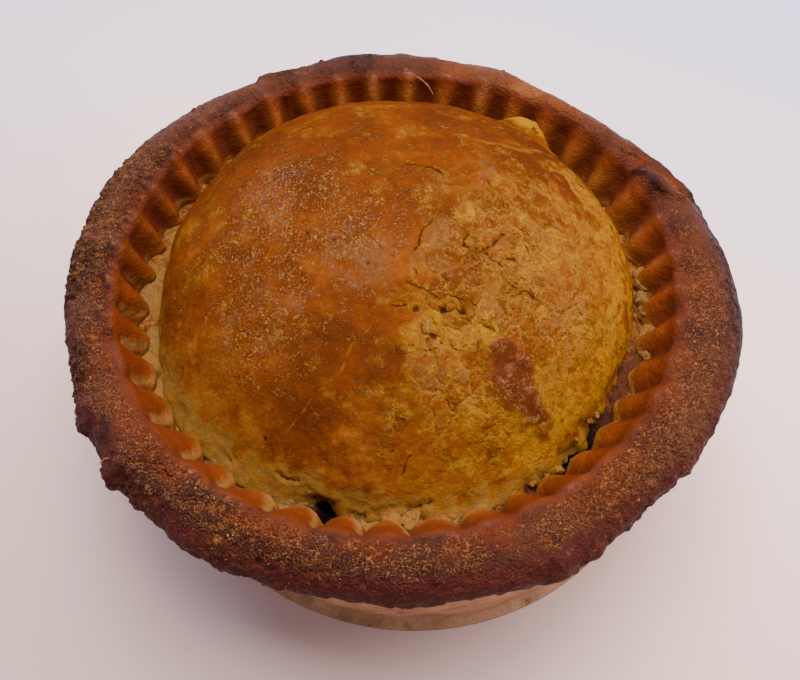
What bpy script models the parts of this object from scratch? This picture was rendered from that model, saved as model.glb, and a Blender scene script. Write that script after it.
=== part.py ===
"""A round pork pie with a crimped rim, baked in one piece and uncut.

The skin is a stack of closed rings. They start at the middle of the flat base, go out and up the case
wall, round the rolled rim, down the crimps that pinch the lid to the case, across the channel at their
foot, and up the domed lid to its crown. Each ring is a function of the angle round the pie, and
neighbouring rings are joined by strips of triangles. The origin is on the base, under the middle of
the rim.
"""
import math

import bmesh
import bpy

# Driving dimensions in metres.
RIM_RADIUS = 0.045
RIM_CREST = 0.0352
CASE_HEIGHT = 0.0268
CASE_FOOT_RADIUS = 0.0375
CASE_TOP_RADIUS = 0.0402
LID_RADIUS = 0.0334
LID_CROWN = 0.0450
LID_SPRING = 0.0264
LID_CENTRE = (-0.0007, 0.0026)
CHANNEL_FLOOR = 0.0270

# The crimps: one groove every nine degrees, pinched into the inner slope of the rim.
CRIMPS = 40
CRIMP_START = 45.7
CRIMP_DRIFT = 1.4
CRIMP_DEPTH = 0.00115
CRIMP_POWER = 1.05
SLOPE_TOP = 0.0343
SLOPE_FOOT = 0.0280
SLOPE_RUN = 0.0036
CRIMP_LIFT = 0.3

# The ring at the crimps' foot, which stands a little off the middle.
FOOT_RADIUS = 0.0349
FOOT_SHIFT = 0.0016
FOOT_SHIFT_TOWARDS = 150.0

# The wall's profile: shares of the way from foot to top radius, and of the case's height.
CASE_PROFILE = ((0.0, 0.0), (0.33, 0.035), (0.55, 0.30), (0.80, 0.62), (1.0, 0.93))
# The rolled lip: distance from the rim's edge, and height.
LIP_PROFILE = ((-0.0030, 0.0277), (-0.0011, 0.0290), (0.0, 0.0310), (-0.0003, 0.0328))
# The crest: share of the way from the crimps to the edge, and height over RIM_CREST.
CREST_PROFILE = ((0.76, -0.0008), (0.46, 0.0), (0.18, -0.0003))
# The crimped slope: share of the way down, and share of the crimps' depth.
CRIMP_PROFILE = ((0.0, 0.25), (0.22, 0.75), (0.5, 1.0), (0.8, 0.9), (1.0, 0.6))
# The channel's ring: share of the way from the crimps' foot to the lid.
CHANNEL_MIDDLE = 0.42
# The lid's rings, in degrees round its section from the foot.
LID_RISE_ANGLES = (6, 14, 23, 32, 41, 50, 59, 68, 76, 83)
# Below this angle the lid's skirt spreads out, and gives way to the crimps.
SKIRT_TOP = 26.0

# Gaps that keep neighbouring rings apart.
CHANNEL_GAP = 0.0002
CHANNEL_WIDTH = 0.0006
LID_GAP = 0.0008

# Points round a ring: plain rings, and the rings that follow the crimps.
COARSE = 80
FINE = 240

# How far the rim's outer edge stands out or in: angle, spread in degrees, distance.
RIM_SWELLS = (
    (352, 14, 0.0008),
    (48, 17, -0.0029),
    (155, 18, 0.0015),
    (312, 10, -0.0009),
    (260, 14, -0.0004),
)
# Knobs, flaps and folds of dough on the rim's edge, written the same way.
RIM_LUMPS = (
    (20, 3.5, 0.0009),
    (90, 2.0, 0.0005),
    (116, 4.0, 0.0012),
    (209, 3.0, 0.0012),
    (220, 3.0, 0.0017),
    (237, 3.0, 0.0008),
)
# How far the rim's crest is raised or sunk.
CREST_RAISES = (
    (26, 6, 0.0009),
    (114, 7, 0.0004),
    (200, 30, 0.0003),
    (285, 25, -0.0003),
)
# Where the crimped slope is steeper, and its crest broader.
STEEP_SLOPES = (
    (176, 32, -0.0014),
    (96, 26, -0.0007),
)
# How far round the grooves are shifted, in degrees.
CRIMP_SHIFTS = (
    (48, 24, 2.6),
    (197, 12, -2.0),
    (121, 8, -1.0),
)
# Where the crimps are round lobes with narrow grooves.
CRIMP_ROUNDINGS = (
    (245, 42, -0.62),
    (200, 10, -0.20),
    (318, 12, -0.25),
)
# Where the crimps are shallower, as shares of their depth.
CRIMP_SHALLOWS = (
    (258, 36, 0.40),
    (205, 14, 0.25),
)
# Where the lid's skirt spreads towards the crimps.
SKIRT_SPREADS = (
    (228, 26, 0.0042),
    (290, 18, 0.0030),
)
# Where the lid has come away from the crimps and the channel drops into a dark gap.
CHANNEL_GAPS = (
    (253.5, 2.4, 0.0040),
    (314, 6.0, 0.0045),
)
# How much the spreading skirt fills the channel, as a share of its spread.
CHANNEL_FILL = 0.2
# Broad rises and dips of the lid: across, back, spread, height.
LID_RISES = (
    (-0.016, 0.010, 0.010, 0.0005),
    (0.013, -0.006, 0.007, 0.0005),
    (0.004, -0.021, 0.007, -0.0004),
    (0.017, 0.016, 0.008, -0.0005),
)

CASE, RIM, CRUMB, LID = range(4)


def bell(away, spread):
    """A bell-shaped curve, 1 in the middle."""
    return math.exp(-0.5 * (away / spread) ** 2)


def bumps(angle, table):
    """The sum of the table's bell-shaped bumps at this angle, in degrees round the pie."""
    total = 0.0
    for centre, spread, height in table:
        away = (angle - centre + 180) % 360 - 180
        total += height * bell(away, spread)
    return total


def rim_edge(angle):
    """Distance from the middle to the rim's outermost edge."""
    return RIM_RADIUS + bumps(angle, RIM_SWELLS) + bumps(angle, RIM_LUMPS)


def crimp_foot(angle):
    """Distance from the middle to the foot of the crimps."""
    turn = math.radians(angle - FOOT_SHIFT_TOWARDS)
    return FOOT_RADIUS + FOOT_SHIFT * math.cos(turn)


def slope_run(angle):
    """How far the crimped slope leans inwards on its way down."""
    return SLOPE_RUN + bumps(angle, STEEP_SLOPES)


def shoulder(angle):
    """Distance from the middle to the top of the crimps."""
    return crimp_foot(angle) + slope_run(angle)


def lid_foot(angle):
    """Distance from the pie's middle to the lid's foot, which stands about its own middle."""
    turn = math.radians(angle)
    along = LID_CENTRE[0] * math.cos(turn) + LID_CENTRE[1] * math.sin(turn)
    return LID_RADIUS + along + bumps(angle, SKIRT_SPREADS)


def crimp(angle):
    """1 on the round back of a crimp and -1 in the groove between two crimps."""
    drift = bumps(angle, CRIMP_SHIFTS) - CRIMP_DRIFT * math.cos(math.radians(2 * angle))
    phase = math.radians((angle - CRIMP_START - drift) * CRIMPS)
    power = CRIMP_POWER + bumps(angle, CRIMP_ROUNDINGS)
    return 2 * (math.sin(phase / 2) ** 2) ** power - 1


def place(radius, angle, height, centre=(0.0, 0.0)):
    """The point at this radius, angle and height, about an upright axis through the centre."""
    turn = math.radians(angle)
    return (
        centre[0] + radius * math.cos(turn),
        centre[1] + radius * math.sin(turn),
        height,
    )


def case_rings():
    """The case: a flat foot with a soft edge and a wall that leans out to the rim."""
    lean = CASE_TOP_RADIUS - CASE_FOOT_RADIUS
    for out, up in CASE_PROFILE:
        radius = CASE_FOOT_RADIUS + lean * out
        yield COARSE, lambda a, r=radius, u=up: place(r, a, CASE_HEIGHT * u)


def rim_rings():
    """The rolled rim: from under its lip, round its outer face and over its crest."""
    for inward, height in LIP_PROFILE:
        yield COARSE, lambda a, i=inward, h=height: place(rim_edge(a) + i, a, h)
    for share, drop in CREST_PROFILE:
        yield COARSE, lambda a, s=share, d=drop: crest_point(a, s, d)


def crest_point(angle, share, drop):
    """A point across the crest: share 1 is the rim's edge and share 0 the top of the crimps."""
    inner = shoulder(angle)
    radius = inner + (rim_edge(angle) - inner) * share
    raised = bumps(angle, CREST_RAISES) * math.sin(math.pi * share)
    return place(radius, angle, RIM_CREST + drop + raised)


def crimp_rings():
    """The crimped slope: each crimp swells towards the lid and fades out at the crest."""
    for down, depth in CRIMP_PROFILE:
        yield FINE, lambda a, s=down, d=depth: slope_point(a, s, d)


def slope_point(angle, down, depth):
    """A point on the crimped slope, pushed in or out of the rim by the crimp at this angle."""
    push = crimp(angle) * depth * CRIMP_DEPTH * (1 - bumps(angle, CRIMP_SHALLOWS))
    fall = SLOPE_TOP - SLOPE_FOOT
    height = SLOPE_TOP - fall * down + CRIMP_LIFT * push * (1 - down)
    return place(shoulder(angle) - slope_run(angle) * down - push, angle, height)


def channel_rings():
    """The channel between crimps and lid, with the gaps where the lid has come away."""
    yield FINE, lambda a: channel_point(a, CHANNEL_MIDDLE)


def channel_point(angle, share):
    """A point on the channel's floor: share 0 at the crimps' foot and share 1 at the lid."""
    outer = crimp_foot(angle) - CHANNEL_GAP
    inner = min(lid_foot(angle), outer - CHANNEL_WIDTH)
    radius = outer + (inner - outer) * share
    fill = CHANNEL_FILL * bumps(angle, SKIRT_SPREADS)
    return place(radius, angle, CHANNEL_FLOOR + fill - bumps(angle, CHANNEL_GAPS))


def lid_rings():
    """The lid: ellipses in section, from its foot in the channel up to the crown."""
    for rise in LID_RISE_ANGLES:
        yield COARSE, lambda a, r=rise: lid_point(a, r)


def lid_point(angle, rise):
    """A point on the lid, rise being 0 degrees at its foot and 90 at the crown."""
    skirt = max(0.0, 1 - rise / SKIRT_TOP)
    turn = math.radians(rise)
    radius = LID_RADIUS * math.cos(turn) + bumps(angle, SKIRT_SPREADS) * skirt**2
    height = LID_SPRING + (LID_CROWN - LID_SPRING) * math.sin(turn)
    x, y, z = place(radius, angle, height, LID_CENTRE)
    outer = crimp_foot(angle) - LID_GAP
    reach = math.hypot(x, y)
    if skirt > 0 and reach > outer:
        x, y = x * outer / reach, y * outer / reach
    return x, y, z + lid_rise(x, y)


def lid_rise(x, y):
    """How far the lid's broad rises and dips lift it here."""
    total = 0.0
    for across, back, spread, height in LID_RISES:
        total += height * bell(math.hypot(x - across, y - back), spread)
    return total


def add_ring(mesh, count, point):
    """Adds a closed ring of that many vertices."""
    return [mesh.verts.new(point(360.0 * i / count)) for i in range(count)]


def join_rings(mesh, first, second, material):
    """Joins two rings by a strip of triangles. One may have a whole multiple of the other's points."""
    if len(first) < len(second):
        join_rings(mesh, second, first, material)
        return
    ratio = len(first) // len(second)
    for i, corner in enumerate(first):
        ahead = first[(i + 1) % len(first)]
        near = second[i // ratio]
        mesh.faces.new((corner, ahead, near)).material_index = material
        if i % ratio == ratio - 1:
            far = second[(i // ratio + 1) % len(second)]
            mesh.faces.new((ahead, far, near)).material_index = material


def close_ring(mesh, ring, point, material):
    """Closes a ring with a fan of triangles to one point."""
    middle = mesh.verts.new(point)
    for i, corner in enumerate(ring):
        ahead = ring[(i + 1) % len(ring)]
        mesh.faces.new((corner, ahead, middle)).material_index = material


def crust_material(name, colour, roughness):
    """A baked crust's material."""
    material = bpy.data.materials.new(name)
    material.use_nodes = True
    shader = material.node_tree.nodes["Principled BSDF"]
    shader.inputs["Base Color"].default_value = (*colour, 1.0)
    shader.inputs["Roughness"].default_value = roughness
    shader.inputs["Metallic"].default_value = 0.0
    return material


def pie_materials():
    """The case, the dark rim, the pale crumb of the channel and the glazed lid."""
    return (
        crust_material("case_crust", (0.42, 0.22, 0.10), 0.6),
        crust_material("rim_crust", (0.20, 0.07, 0.03), 0.5),
        crust_material("pale_crumb", (0.55, 0.36, 0.13), 0.8),
        crust_material("lid_crust", (0.52, 0.23, 0.03), 0.4),
    )


def build_pie():
    """Stacks the rings, joins them from the base to the crown and closes both ends."""
    mesh = bmesh.new()
    sections = (
        (CASE, case_rings),
        (RIM, rim_rings),
        (RIM, crimp_rings),
        (CRUMB, channel_rings),
        (LID, lid_rings),
    )
    below = None
    for material, rings in sections:
        for count, point in rings():
            ring = add_ring(mesh, count, point)
            if below is None:
                close_ring(mesh, ring, (0.0, 0.0, 0.0), material)
            else:
                join_rings(mesh, below, ring, material)
            below = ring
    crown = LID_CROWN + lid_rise(*LID_CENTRE)
    close_ring(mesh, below, (*LID_CENTRE, crown), LID)
    bmesh.ops.recalc_face_normals(mesh, faces=mesh.faces)
    data = bpy.data.meshes.new("pork_pie")
    mesh.to_mesh(data)
    mesh.free()
    for material in pie_materials():
        data.materials.append(material)
    data.shade_smooth()
    data.set_sharp_from_angle(angle=math.radians(60))
    pie = bpy.data.objects.new("pork_pie", data)
    bpy.context.collection.objects.link(pie)
    return pie


def main():
    """Clears the scene and builds the pie."""
    for old in list(bpy.data.objects):
        bpy.data.objects.remove(old, do_unlink=True)
    build_pie()


main()
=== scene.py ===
"""A round pork pie: case, rolled and crimped rim, pale channel and glazed lid, with its crumbs.

Every shape is a numpy surface. Distances inside the shape functions are millimetres of a pie whose
rim is 45 mm in radius, and one scale, read from the solid in model.glb, turns them into metres. In the
calls of the noise functions the numbers are the size of the noise in millimetres, its octaves and its seed.
"""
import itertools
import math

import bpy
import numpy as np
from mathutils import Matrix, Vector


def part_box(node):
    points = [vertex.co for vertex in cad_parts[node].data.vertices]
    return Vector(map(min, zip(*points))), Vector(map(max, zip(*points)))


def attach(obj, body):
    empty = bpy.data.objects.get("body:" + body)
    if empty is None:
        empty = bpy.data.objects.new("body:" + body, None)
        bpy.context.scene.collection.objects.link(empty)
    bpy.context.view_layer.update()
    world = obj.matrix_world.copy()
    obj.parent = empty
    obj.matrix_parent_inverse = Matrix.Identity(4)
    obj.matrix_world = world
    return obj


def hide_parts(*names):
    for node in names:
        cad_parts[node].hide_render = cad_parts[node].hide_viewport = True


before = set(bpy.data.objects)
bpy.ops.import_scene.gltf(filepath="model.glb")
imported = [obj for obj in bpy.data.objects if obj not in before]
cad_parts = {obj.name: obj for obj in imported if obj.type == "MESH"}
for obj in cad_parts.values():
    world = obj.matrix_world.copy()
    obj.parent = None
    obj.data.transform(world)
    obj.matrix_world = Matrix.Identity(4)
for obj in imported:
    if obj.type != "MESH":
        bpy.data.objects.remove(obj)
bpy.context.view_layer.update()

bl_info = {
    "name": "Pork Pie",
    "version": (1, 0, 0),
    "blender": (4, 5, 0),
    "location": "3D View > Sidebar > Pork Pie",
    "description": "Builds a baked pork pie with a crimped rim and a glazed lid",
    "category": "Add Mesh",
}

NODE = "pork_pie"
BODY = "root"
LOW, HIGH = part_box(NODE)
CAD_WIDTH_MM = 91.3
MM = (HIGH.x - LOW.x) / CAD_WIDTH_MM

# The pie's sizes in millimetres, as the solid has them.
RIM_RADIUS = 45.0
RIM_CREST = 35.2
CASE_HEIGHT = 26.8
CASE_FOOT_RADIUS = 37.5
CASE_TOP_RADIUS = 40.2
LID_RADIUS = 33.4
LID_CROWN = 45.0
LID_SPRING = 26.4
LID_CENTRE = (-0.7, 2.6)
CHANNEL_FLOOR = 27.0
CRIMP_START = 45.7
CRIMP_DRIFT = 1.4
SLOPE_TOP = 34.3
SLOPE_FOOT = 28.0
SLOPE_RUN = 3.6
FOOT_RADIUS = 34.9
FOOT_SHIFT = 1.6
FOOT_SHIFT_TOWARDS = 150.0
SKIRT_TOP = 26.0

# The case's foot is a little smaller and stands further right than the solid's.
CASE_FOOT_TRIM = 0.9
CASE_FOOT_SHIFT = (1.8, 0.3)

# How finely things are made: steps round, points across, grains in all, and times a lump's faces are cut.
CASE_STEPS = 700
RIM_STEPS = 1060
CHANNEL_STEPS = 1000
LID_POINTS = 306
GRAIN_COUNT = 6500
LUMP_CUTS = 3

# Round the pie: angle, spread in degrees, millimetres or amount.
RIM_SWELLS = (
    (352, 14, 0.8), (48, 17, -2.9), (155, 18, 1.5), (312, 10, -0.9), (260, 14, -0.4), (237, 13, 0.6),
)
RIM_LUMPS = (
    (20, 3.0, 0.7), (90, 1.0, 0.5), (113.5, 1.6, 0.6), (118, 1.6, 0.9), (209, 1.5, 0.9), (220, 1.3, 1.4),
    (237, 2.2, 0.5), (294, 1.6, 0.6), (300, 1.0, 0.5), (322, 1.5, 0.6),
)
CREST_RAISES = ((26, 6, 0.9), (114, 7, 0.4), (200, 30, 0.3), (285, 25, -0.3))
CHANNEL_BAKED = (
    (0, 34, 0.38), (322, 16, 0.50), (95, 50, 0.35), (165, 30, 0.16), (205, 14, 0.08), (288, 14, 0.40),
)
CHANNEL_GAPS = ((254.0, 2.4, 4.4), (314, 6.0, 4.5))
RAGGED_EDGES = ((214, 16, 1.0), (250, 16, 0.5), (296, 12, 0.9), (325, 10, 0.8), (115, 6, 0.8), (24, 8, 0.6))
STEEP_SLOPES = ((176, 32, -1.4), (96, 26, -0.7))
CRIMP_SHIFTS = ((48, 24, 2.6), (197, 12, -2.0), (121, 8, -1.0))
CRIMP_SHARPNESS = ((245, 42, -0.72), (195, 14, -0.25), (318, 14, -0.35), (135, 28, 0.35), (20, 30, -0.2))
CRIMP_SHALLOWS = ((316, 16, 0.35), (258, 36, 0.32), (200, 22, 0.28), (350, 40, 0.15), (92, 36, 0.20))
RIPE_CRIMPS = ((268, 36, -0.30), (340, 30, -0.12), (95, 40, 0.12), (165, 34, -0.25), (215, 14, -0.30))
EARLY_HOLLOWS = ((195, 34, 1.0), (5, 30, 0.5))
LONG_PLEATS = ((10, 42, 0.34), (60, 20, 0.12), (155, 25, 0.16), (198, 26, 0.26))
CRESCENTS = ((232, 26, 1.2), (262, 10, 0.9), (192, 12, 0.6))
PALE_FEET = (
    (226, 30, 0.45), (276, 16, 0.4), (190, 12, 0.25), (352, 32, 0.9), (150, 20, 0.35), (100, 45, 0.3),
)
GLAZED_CRIMPS = ((252, 38, 1.2), (205, 16, 0.7), (305, 22, 0.9), (350, 30, 0.7), (90, 60, 0.75))
# Where the crest carries a painted pinkish sheen, the reflection of the bright room.
SHEENED_CREST = ((165, 28, 0.9), (112, 24, 0.35), (60, 20, 0.7), (15, 26, 0.12), (324, 16, 0.5))
# Where the rim's lower outer face is painted darker as shade.
SHADED_EDGES = ((95, 50, 1.0), (20, 30, 0.6), (160, 20, 0.6))
LIGHT_CREST = (
    (15, 30, -0.10), (60, 16, 0.48), (100, 22, -0.12), (322, 16, 0.20), (262, 26, -0.16),
    (172, 26, -0.08),
)
PLUM_FACE = ((262, 40, 1.0), (195, 20, 0.5), (320, 16, 0.7))
CREAMY_TIPS = ((92, 26, 0.6), (140, 18, 0.20), (50, 16, 0.2), (172, 22, 0.2))
PALE_CREST = ((62, 14, 1.0),)
WARM_CREST = ((258, 40, 1.0), (312, 22, 0.9), (345, 20, 0.6), (18, 20, 0.4), (205, 20, 0.5))
COARSE_CREST = (
    (186, 26, 0.8), (222, 14, 0.8), (252, 16, 0.25), (314, 18, 0.35), (350, 16, 0.15), (150, 12, 0.4),
)
# Where the crest is sandy and carries painted glints.
SANDY_GLINTING_CREST = ((262, 36, 1.3), (312, 24, 1.1), (218, 16, 1.0), (180, 26, 0.7), (350, 22, 0.6))
SKIRT_SPREADS = ((228, 26, 4.2), (290, 18, 3.0), (172, 22, -1.5))
SKIRT_NOTCH = ((255, 2.0, -2.3),)
RAGGED_SKIRT = ((314, 15, 1.1), (268, 12, 0.5), (220, 14, 0.4))

# Ridges and crevices of the rim: height, width in millimetres, then points across and back.
RIM_FOLDS = (
    (0.95, 0.70, ((34.8, 20.2), (36.9, 17.4), (39.6, 14.6), (41.6, 13.4))),
    (0.80, 0.9, ((34.4, 20.4), (35.1, 19.6))),
    (-0.5, 0.35, ((34.0, 17.6), (35.6, 15.6), (37.6, 13.4), (39.6, 12.0))),
    (1.5, 0.8, ((-23.4, 38.0), (-21.6, 38.9), (-19.6, 39.3), (-17.4, 39.8), (-15.6, 39.4))),
    (-0.6, 0.5, ((-22.0, 36.9), (-20.0, 37.7), (-17.6, 38.3))),
    (0.5, 0.5, ((-30.2, -29.3), (-28.4, -29.8), (-27.4, -30.9))),
)

# On the lid: millimetres across and back, spread, height or amount.
LID_RISES = (
    (-16.0, 10.0, 10.0, 0.5), (13.0, -6.0, 7.0, 0.5), (4.0, -21.0, 7.0, -0.4), (17.0, 16.0, 8.0, -0.5),
)
LID_BROWNED = (
    (-24.0, -3.0, 4.0, 0.12), (-13.0, -21.0, 4.0, 0.30), (-3.0, -17.0, 3.0, 0.30),
    (-10.0, -14.5, 3.0, 0.22), (2.0, -20.5, 3.0, 0.15), (3.5, 4.5, 3.5, 0.25), (-10.0, 12.0, 6.0, 0.15),
    (-22.0, 18.0, 8.0, 0.25), (5.0, 12.5, 4.0, 0.12), (8.5, -5.5, 2.2, 0.35), (16.0, 9.0, 3.5, 0.18),
    (3.5, -10.5, 1.8, 0.2), (-7.0, -20.0, 5.0, 0.15), (5.0, 25.0, 11.0, 0.22), (-2.0, -25.0, 6.0, 0.10),
    (22.0, 18.0, 7.0, 0.26),
)
LID_GOLDEN = (
    (22.0, -4.0, 6.5, 0.75), (28.0, 3.0, 6.0, 0.85), (26.0, 12.0, 5.0, 0.6), (14.0, -10.5, 4.0, 0.55),
    (20.0, -15.0, 4.5, 0.6), (12.0, 4.0, 3.5, 0.45), (5.0, -26.0, 5.0, 0.25), (14.0, -25.0, 5.0, 0.4),
    (5.0, -14.0, 2.4, 0.55), (7.0, -17.5, 2.2, 0.5), (0.5, -8.0, 1.2, 0.4), (-25.3, -3.5, 1.2, 0.6),
    (-18.5, 10.8, 1.0, 0.5), (-10.3, 12.2, 0.9, 0.5), (-14.0, 21.0, 3.0, 0.35), (-3.5, 24.0, 2.5, 0.45),
    (1.0, 17.5, 2.5, 0.4), (-6.0, 8.0, 3.5, 0.2), (-24.5, -21.0, 6.0, 0.35), (-27.5, 7.0, 3.5, 0.35),
    (17.0, -23.5, 4.0, 0.6), (27.0, -10.0, 4.0, 0.6), (25.5, -15.0, 4.0, 0.6), (21.0, -20.0, 3.5, 0.5),
)
LID_BLUSHED = (
    (-17.0, 4.0, 4.5, 0.55), (-16.2, 1.8, 1.3, 0.6), (-20.3, 3.5, 1.0, 0.6), (-20.8, -5.0, 3.2, 0.65),
    (-12.0, -2.5, 5.0, 0.6), (-22.5, -9.5, 2.0, 0.5), (-19.0, -13.0, 3.2, 0.6), (-17.5, -17.5, 3.0, 0.5),
    (-12.5, -10.5, 3.5, 0.4), (-6.0, -4.0, 3.5, 0.55), (-3.5, -6.5, 2.6, 0.7), (-9.5, -12.5, 2.5, 0.35),
    (-2.0, -13.5, 2.2, 0.35), (-8.0, 6.5, 4.5, 0.3), (1.0, -2.5, 1.8, 0.4), (10.5, 2.4, 2.0, 0.75),
    (12.0, 8.5, 1.4, 0.45), (14.5, 3.2, 1.6, 0.65), (18.0, -2.3, 1.7, 0.75), (18.7, -6.6, 1.3, 0.65),
    (22.9, -8.6, 1.3, 0.55), (19.0, -10.3, 1.5, 0.6), (20.8, -13.2, 2.0, 0.65), (16.0, -9.0, 1.6, 0.45),
    (19.0, -17.0, 1.4, 0.5), (12.5, -11.5, 1.8, 0.55), (7.5, 4.4, 1.6, 0.35), (6.0, -23.0, 2.5, 0.35),
    (9.0, -21.0, 2.0, 0.35), (22.0, 8.0, 2.5, 0.25),
)
LID_PALE = (
    (-20.2, 3.6, 0.7, 0.8), (-24.0, 3.2, 0.6, 0.6), (-16.8, 1.2, 0.8, 0.6), (-16.9, -3.9, 0.5, 0.6),
    (-22.3, -9.2, 0.7, 0.6), (-6.0, 1.5, 0.4, 0.5), (13.5, -3.6, 0.9, 0.7), (4.1, -13.4, 0.5, 0.6),
    (3.4, -14.3, 0.9, 0.35), (15.0, -25.5, 2.4, 0.5), (19.5, -22.0, 1.8, 0.4), (9.5, -16.0, 0.5, 0.3),
)
LID_PITS = (
    (1.8, -12.1, 0.40, 1.0), (4.9, -12.3, 0.50, 1.1), (7.3, -12.5, 0.45, 1.0), (3.9, -15.5, 0.50, 0.9),
    (3.3, -16.1, 0.40, 0.7), (4.9, -15.9, 0.35, 0.6), (2.9, -17.6, 0.18, 0.7), (9.4, -16.1, 0.60, 0.5),
    (-11.9, -1.4, 0.30, 1.1), (-8.6, -3.0, 0.28, 1.0), (-4.2, -6.5, 0.40, 0.5), (-16.9, -24.5, 0.22, 0.8),
    (12.6, 7.0, 0.45, 0.6), (12.0, 8.3, 0.30, 0.6), (16.2, -12.7, 0.25, 0.5), (19.3, 2.9, 0.25, 0.4),
    (9.3, -3.9, 0.55, 0.6),
)
# Cracks: width, depth in millimetres, then points across and back.
LID_CRACKS = (
    (0.16, 0.5, ((0.3, 10.8), (1.2, 9.9), (2.5, 9.9), (3.7, 9.6), (4.6, 9.1), (5.4, 8.6))),
    (0.16, 0.5, (
        (4.8, 1.3), (3.9, 0.3), (3.3, -0.6), (2.6, -1.8), (2.0, -3.2), (1.5, -4.6), (1.1, -5.9),
        (1.2, -6.7), (1.7, -7.5),
    )),
    (0.18, 0.6, ((6.4, 0.5), (7.2, -0.2), (7.8, -1.1), (8.3, -1.6), (8.1, -2.7), (8.1, -3.7))),
    (0.20, 0.7, (
        (8.1, -3.7), (8.8, -4.1), (9.4, -4.4), (10.2, -4.0), (11.0, -3.5), (11.6, -2.7), (12.3, -1.9),
        (13.0, -1.3),
    )),
    (0.18, 0.5, ((10.2, -4.7), (10.9, -5.1), (11.4, -5.7), (12.1, -6.3))),
    (0.14, 0.4, ((0.1, -8.6), (1.2, -9.3), (2.4, -9.7), (3.4, -10.2), (4.2, -10.7))),
    (0.17, 0.6, (
        (4.6, -12.0), (5.5, -12.4), (6.7, -12.4), (7.7, -12.7), (8.7, -13.3), (9.6, -13.5), (10.9, -13.9),
    )),
    (0.12, 0.4, ((-2.6, -12.7), (-1.5, -12.2), (-0.2, -12.1), (1.0, -11.9))),
    (0.13, 0.4, ((15.2, 0.4), (15.8, -0.1), (16.6, -0.7))),
    (0.16, 0.5, ((15.9, -2.7), (16.6, -3.7), (17.5, -4.2))),
    (0.16, 0.5, ((12.8, -4.8), (13.7, -4.8), (14.6, -5.2))),
    (0.10, 0.3, ((1.2, -27.5), (0.5, -28.4), (0.1, -29.0), (-0.1, -29.6))),
    (0.17, 0.6, ((-6.6, -32.4), (-4.6, -32.6), (-2.7, -32.4), (-0.2, -31.9), (1.6, -31.8), (3.4, -31.4))),
    (0.12, 0.5, ((-15.8, -27.9), (-14.4, -28.6), (-12.8, -29.0))),
    (0.12, 0.5, ((-11.6, -29.8), (-10.0, -30.6), (-8.4, -31.2))),
    (0.10, 0.08, ((-6.6, -15.4), (-5.6, -15.9), (-5.0, -16.0))),
    (0.10, 0.3, ((-0.2, -5.8), (-1.4, -5.4), (-2.6, -4.6), (-3.4, -3.4))),
    (0.10, 0.08, ((-3.4, -13.8), (-4.6, -15.2), (-5.6, -16.6), (-6.6, -18.2), (-7.4, -19.8))),
    (0.12, 0.4, ((13.0, -8.2), (14.2, -8.8), (15.4, -8.6), (16.6, -9.4))),
    (0.12, 0.4, ((2.2, -14.2), (2.8, -15.4), (3.9, -15.2), (5.2, -15.4), (6.4, -16.6), (8.0, -17.0))),
    (0.12, 0.4, ((5.8, -10.6), (6.8, -11.2), (8.2, -11.0), (9.0, -11.8))),
    (0.14, 0.4, ((12.2, 8.6), (11.7, 8.2), (11.9, 7.4), (12.6, 6.6), (13.2, 5.4), (13.2, 4.2))),
)
# Raised yellow seams: width, lift, then points.
LID_SEAMS = (
    (0.55, 0.10, ((-3.9, -1.8), (-3.2, -2.7), (-2.5, -3.9), (-1.5, -4.8), (-0.2, -5.2), (1.0, -5.9))),
    (0.18, 0.03, (
        (-2.9, -12.9), (-3.8, -14.5), (-4.8, -15.7), (-6.0, -16.4), (-6.6, -17.6), (-7.3, -19.7),
    )),
    (0.16, 0.03, (
        (-7.3, -19.7), (-8.6, -20.2), (-10.0, -20.9), (-11.2, -22.1), (-12.2, -23.4), (-14.4, -24.7),
    )),
    (0.50, 0.20, (
        (1.0, -6.6), (1.2, -8.6), (2.4, -9.7), (3.8, -10.8), (4.1, -12.2), (4.0, -13.6), (2.6, -14.9),
        (4.0, -16.6), (5.6, -16.6), (7.4, -16.2),
    )),
    (0.40, 0.15, ((6.6, -17.4), (8.0, -16.4), (9.6, -15.4), (10.4, -14.6))),
    (0.50, 0.20, ((12.9, 10.9), (13.2, 9.0), (13.6, 7.6), (14.4, 6.4))),
    (0.60, 0.05, ((8.5, 17.4), (11.0, 17.0), (13.7, 17.8), (16.5, 17.2), (18.2, 18.6), (20.4, 19.0))),
    (0.40, 0.15, ((11.6, -5.2), (12.4, -6.4), (13.4, -7.0), (12.2, -9.6), (11.2, -10.6))),
)
# Flakes of the top skin: lift, then corners across and back.
PLATES = (
    (0.28, (
        (4.8, 1.3), (6.4, 0.5), (8.1, -1.7), (8.1, -3.7), (6.6, -3.9), (5.3, -4.9), (3.4, -5.8),
        (1.5, -5.9), (2.0, -3.2), (3.3, -0.6),
    )),
    (0.30, ((12.0, -3.2), (13.4, -1.8), (14.1, -2.4), (14.4, -4.2), (12.9, -4.2), (11.5, -4.1))),
    (0.22, ((10.4, 10.4), (12.6, 12.0), (12.9, 10.8), (12.2, 8.8), (10.8, 8.4), (9.6, 6.6), (9.3, 8.0))),
)
# Where the lid's skin is uneven, veined, and grainy with painted glints of light, as the spots are.
UNEVEN_SKIN = ((14, -6, 12, 1.4), (6, -22, 6, 0.7), (-18, -2, 9, -1.2))
VEINED_SKIN = ((8, -15, 6, 0.9), (17, -6, 7, 1.0), (13, 5, 5, 0.9), (5, -24, 6, 0.45))
GRAINY_GLINTING_SKIN = (
    (-18.0, -2.0, 5.5, 1.0), (-14.0, 6.0, 5.5, 0.9), (-18.0, -14.0, 4.0, 1.0), (-6.0, -1.0, 4.0, 0.6),
    (13.0, -20.0, 3.0, 0.5), (14.0, -3.0, 5.0, 0.45), (19.0, -11.0, 4.0, 0.35), (2.0, 2.0, 3.5, 0.4),
)
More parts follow.
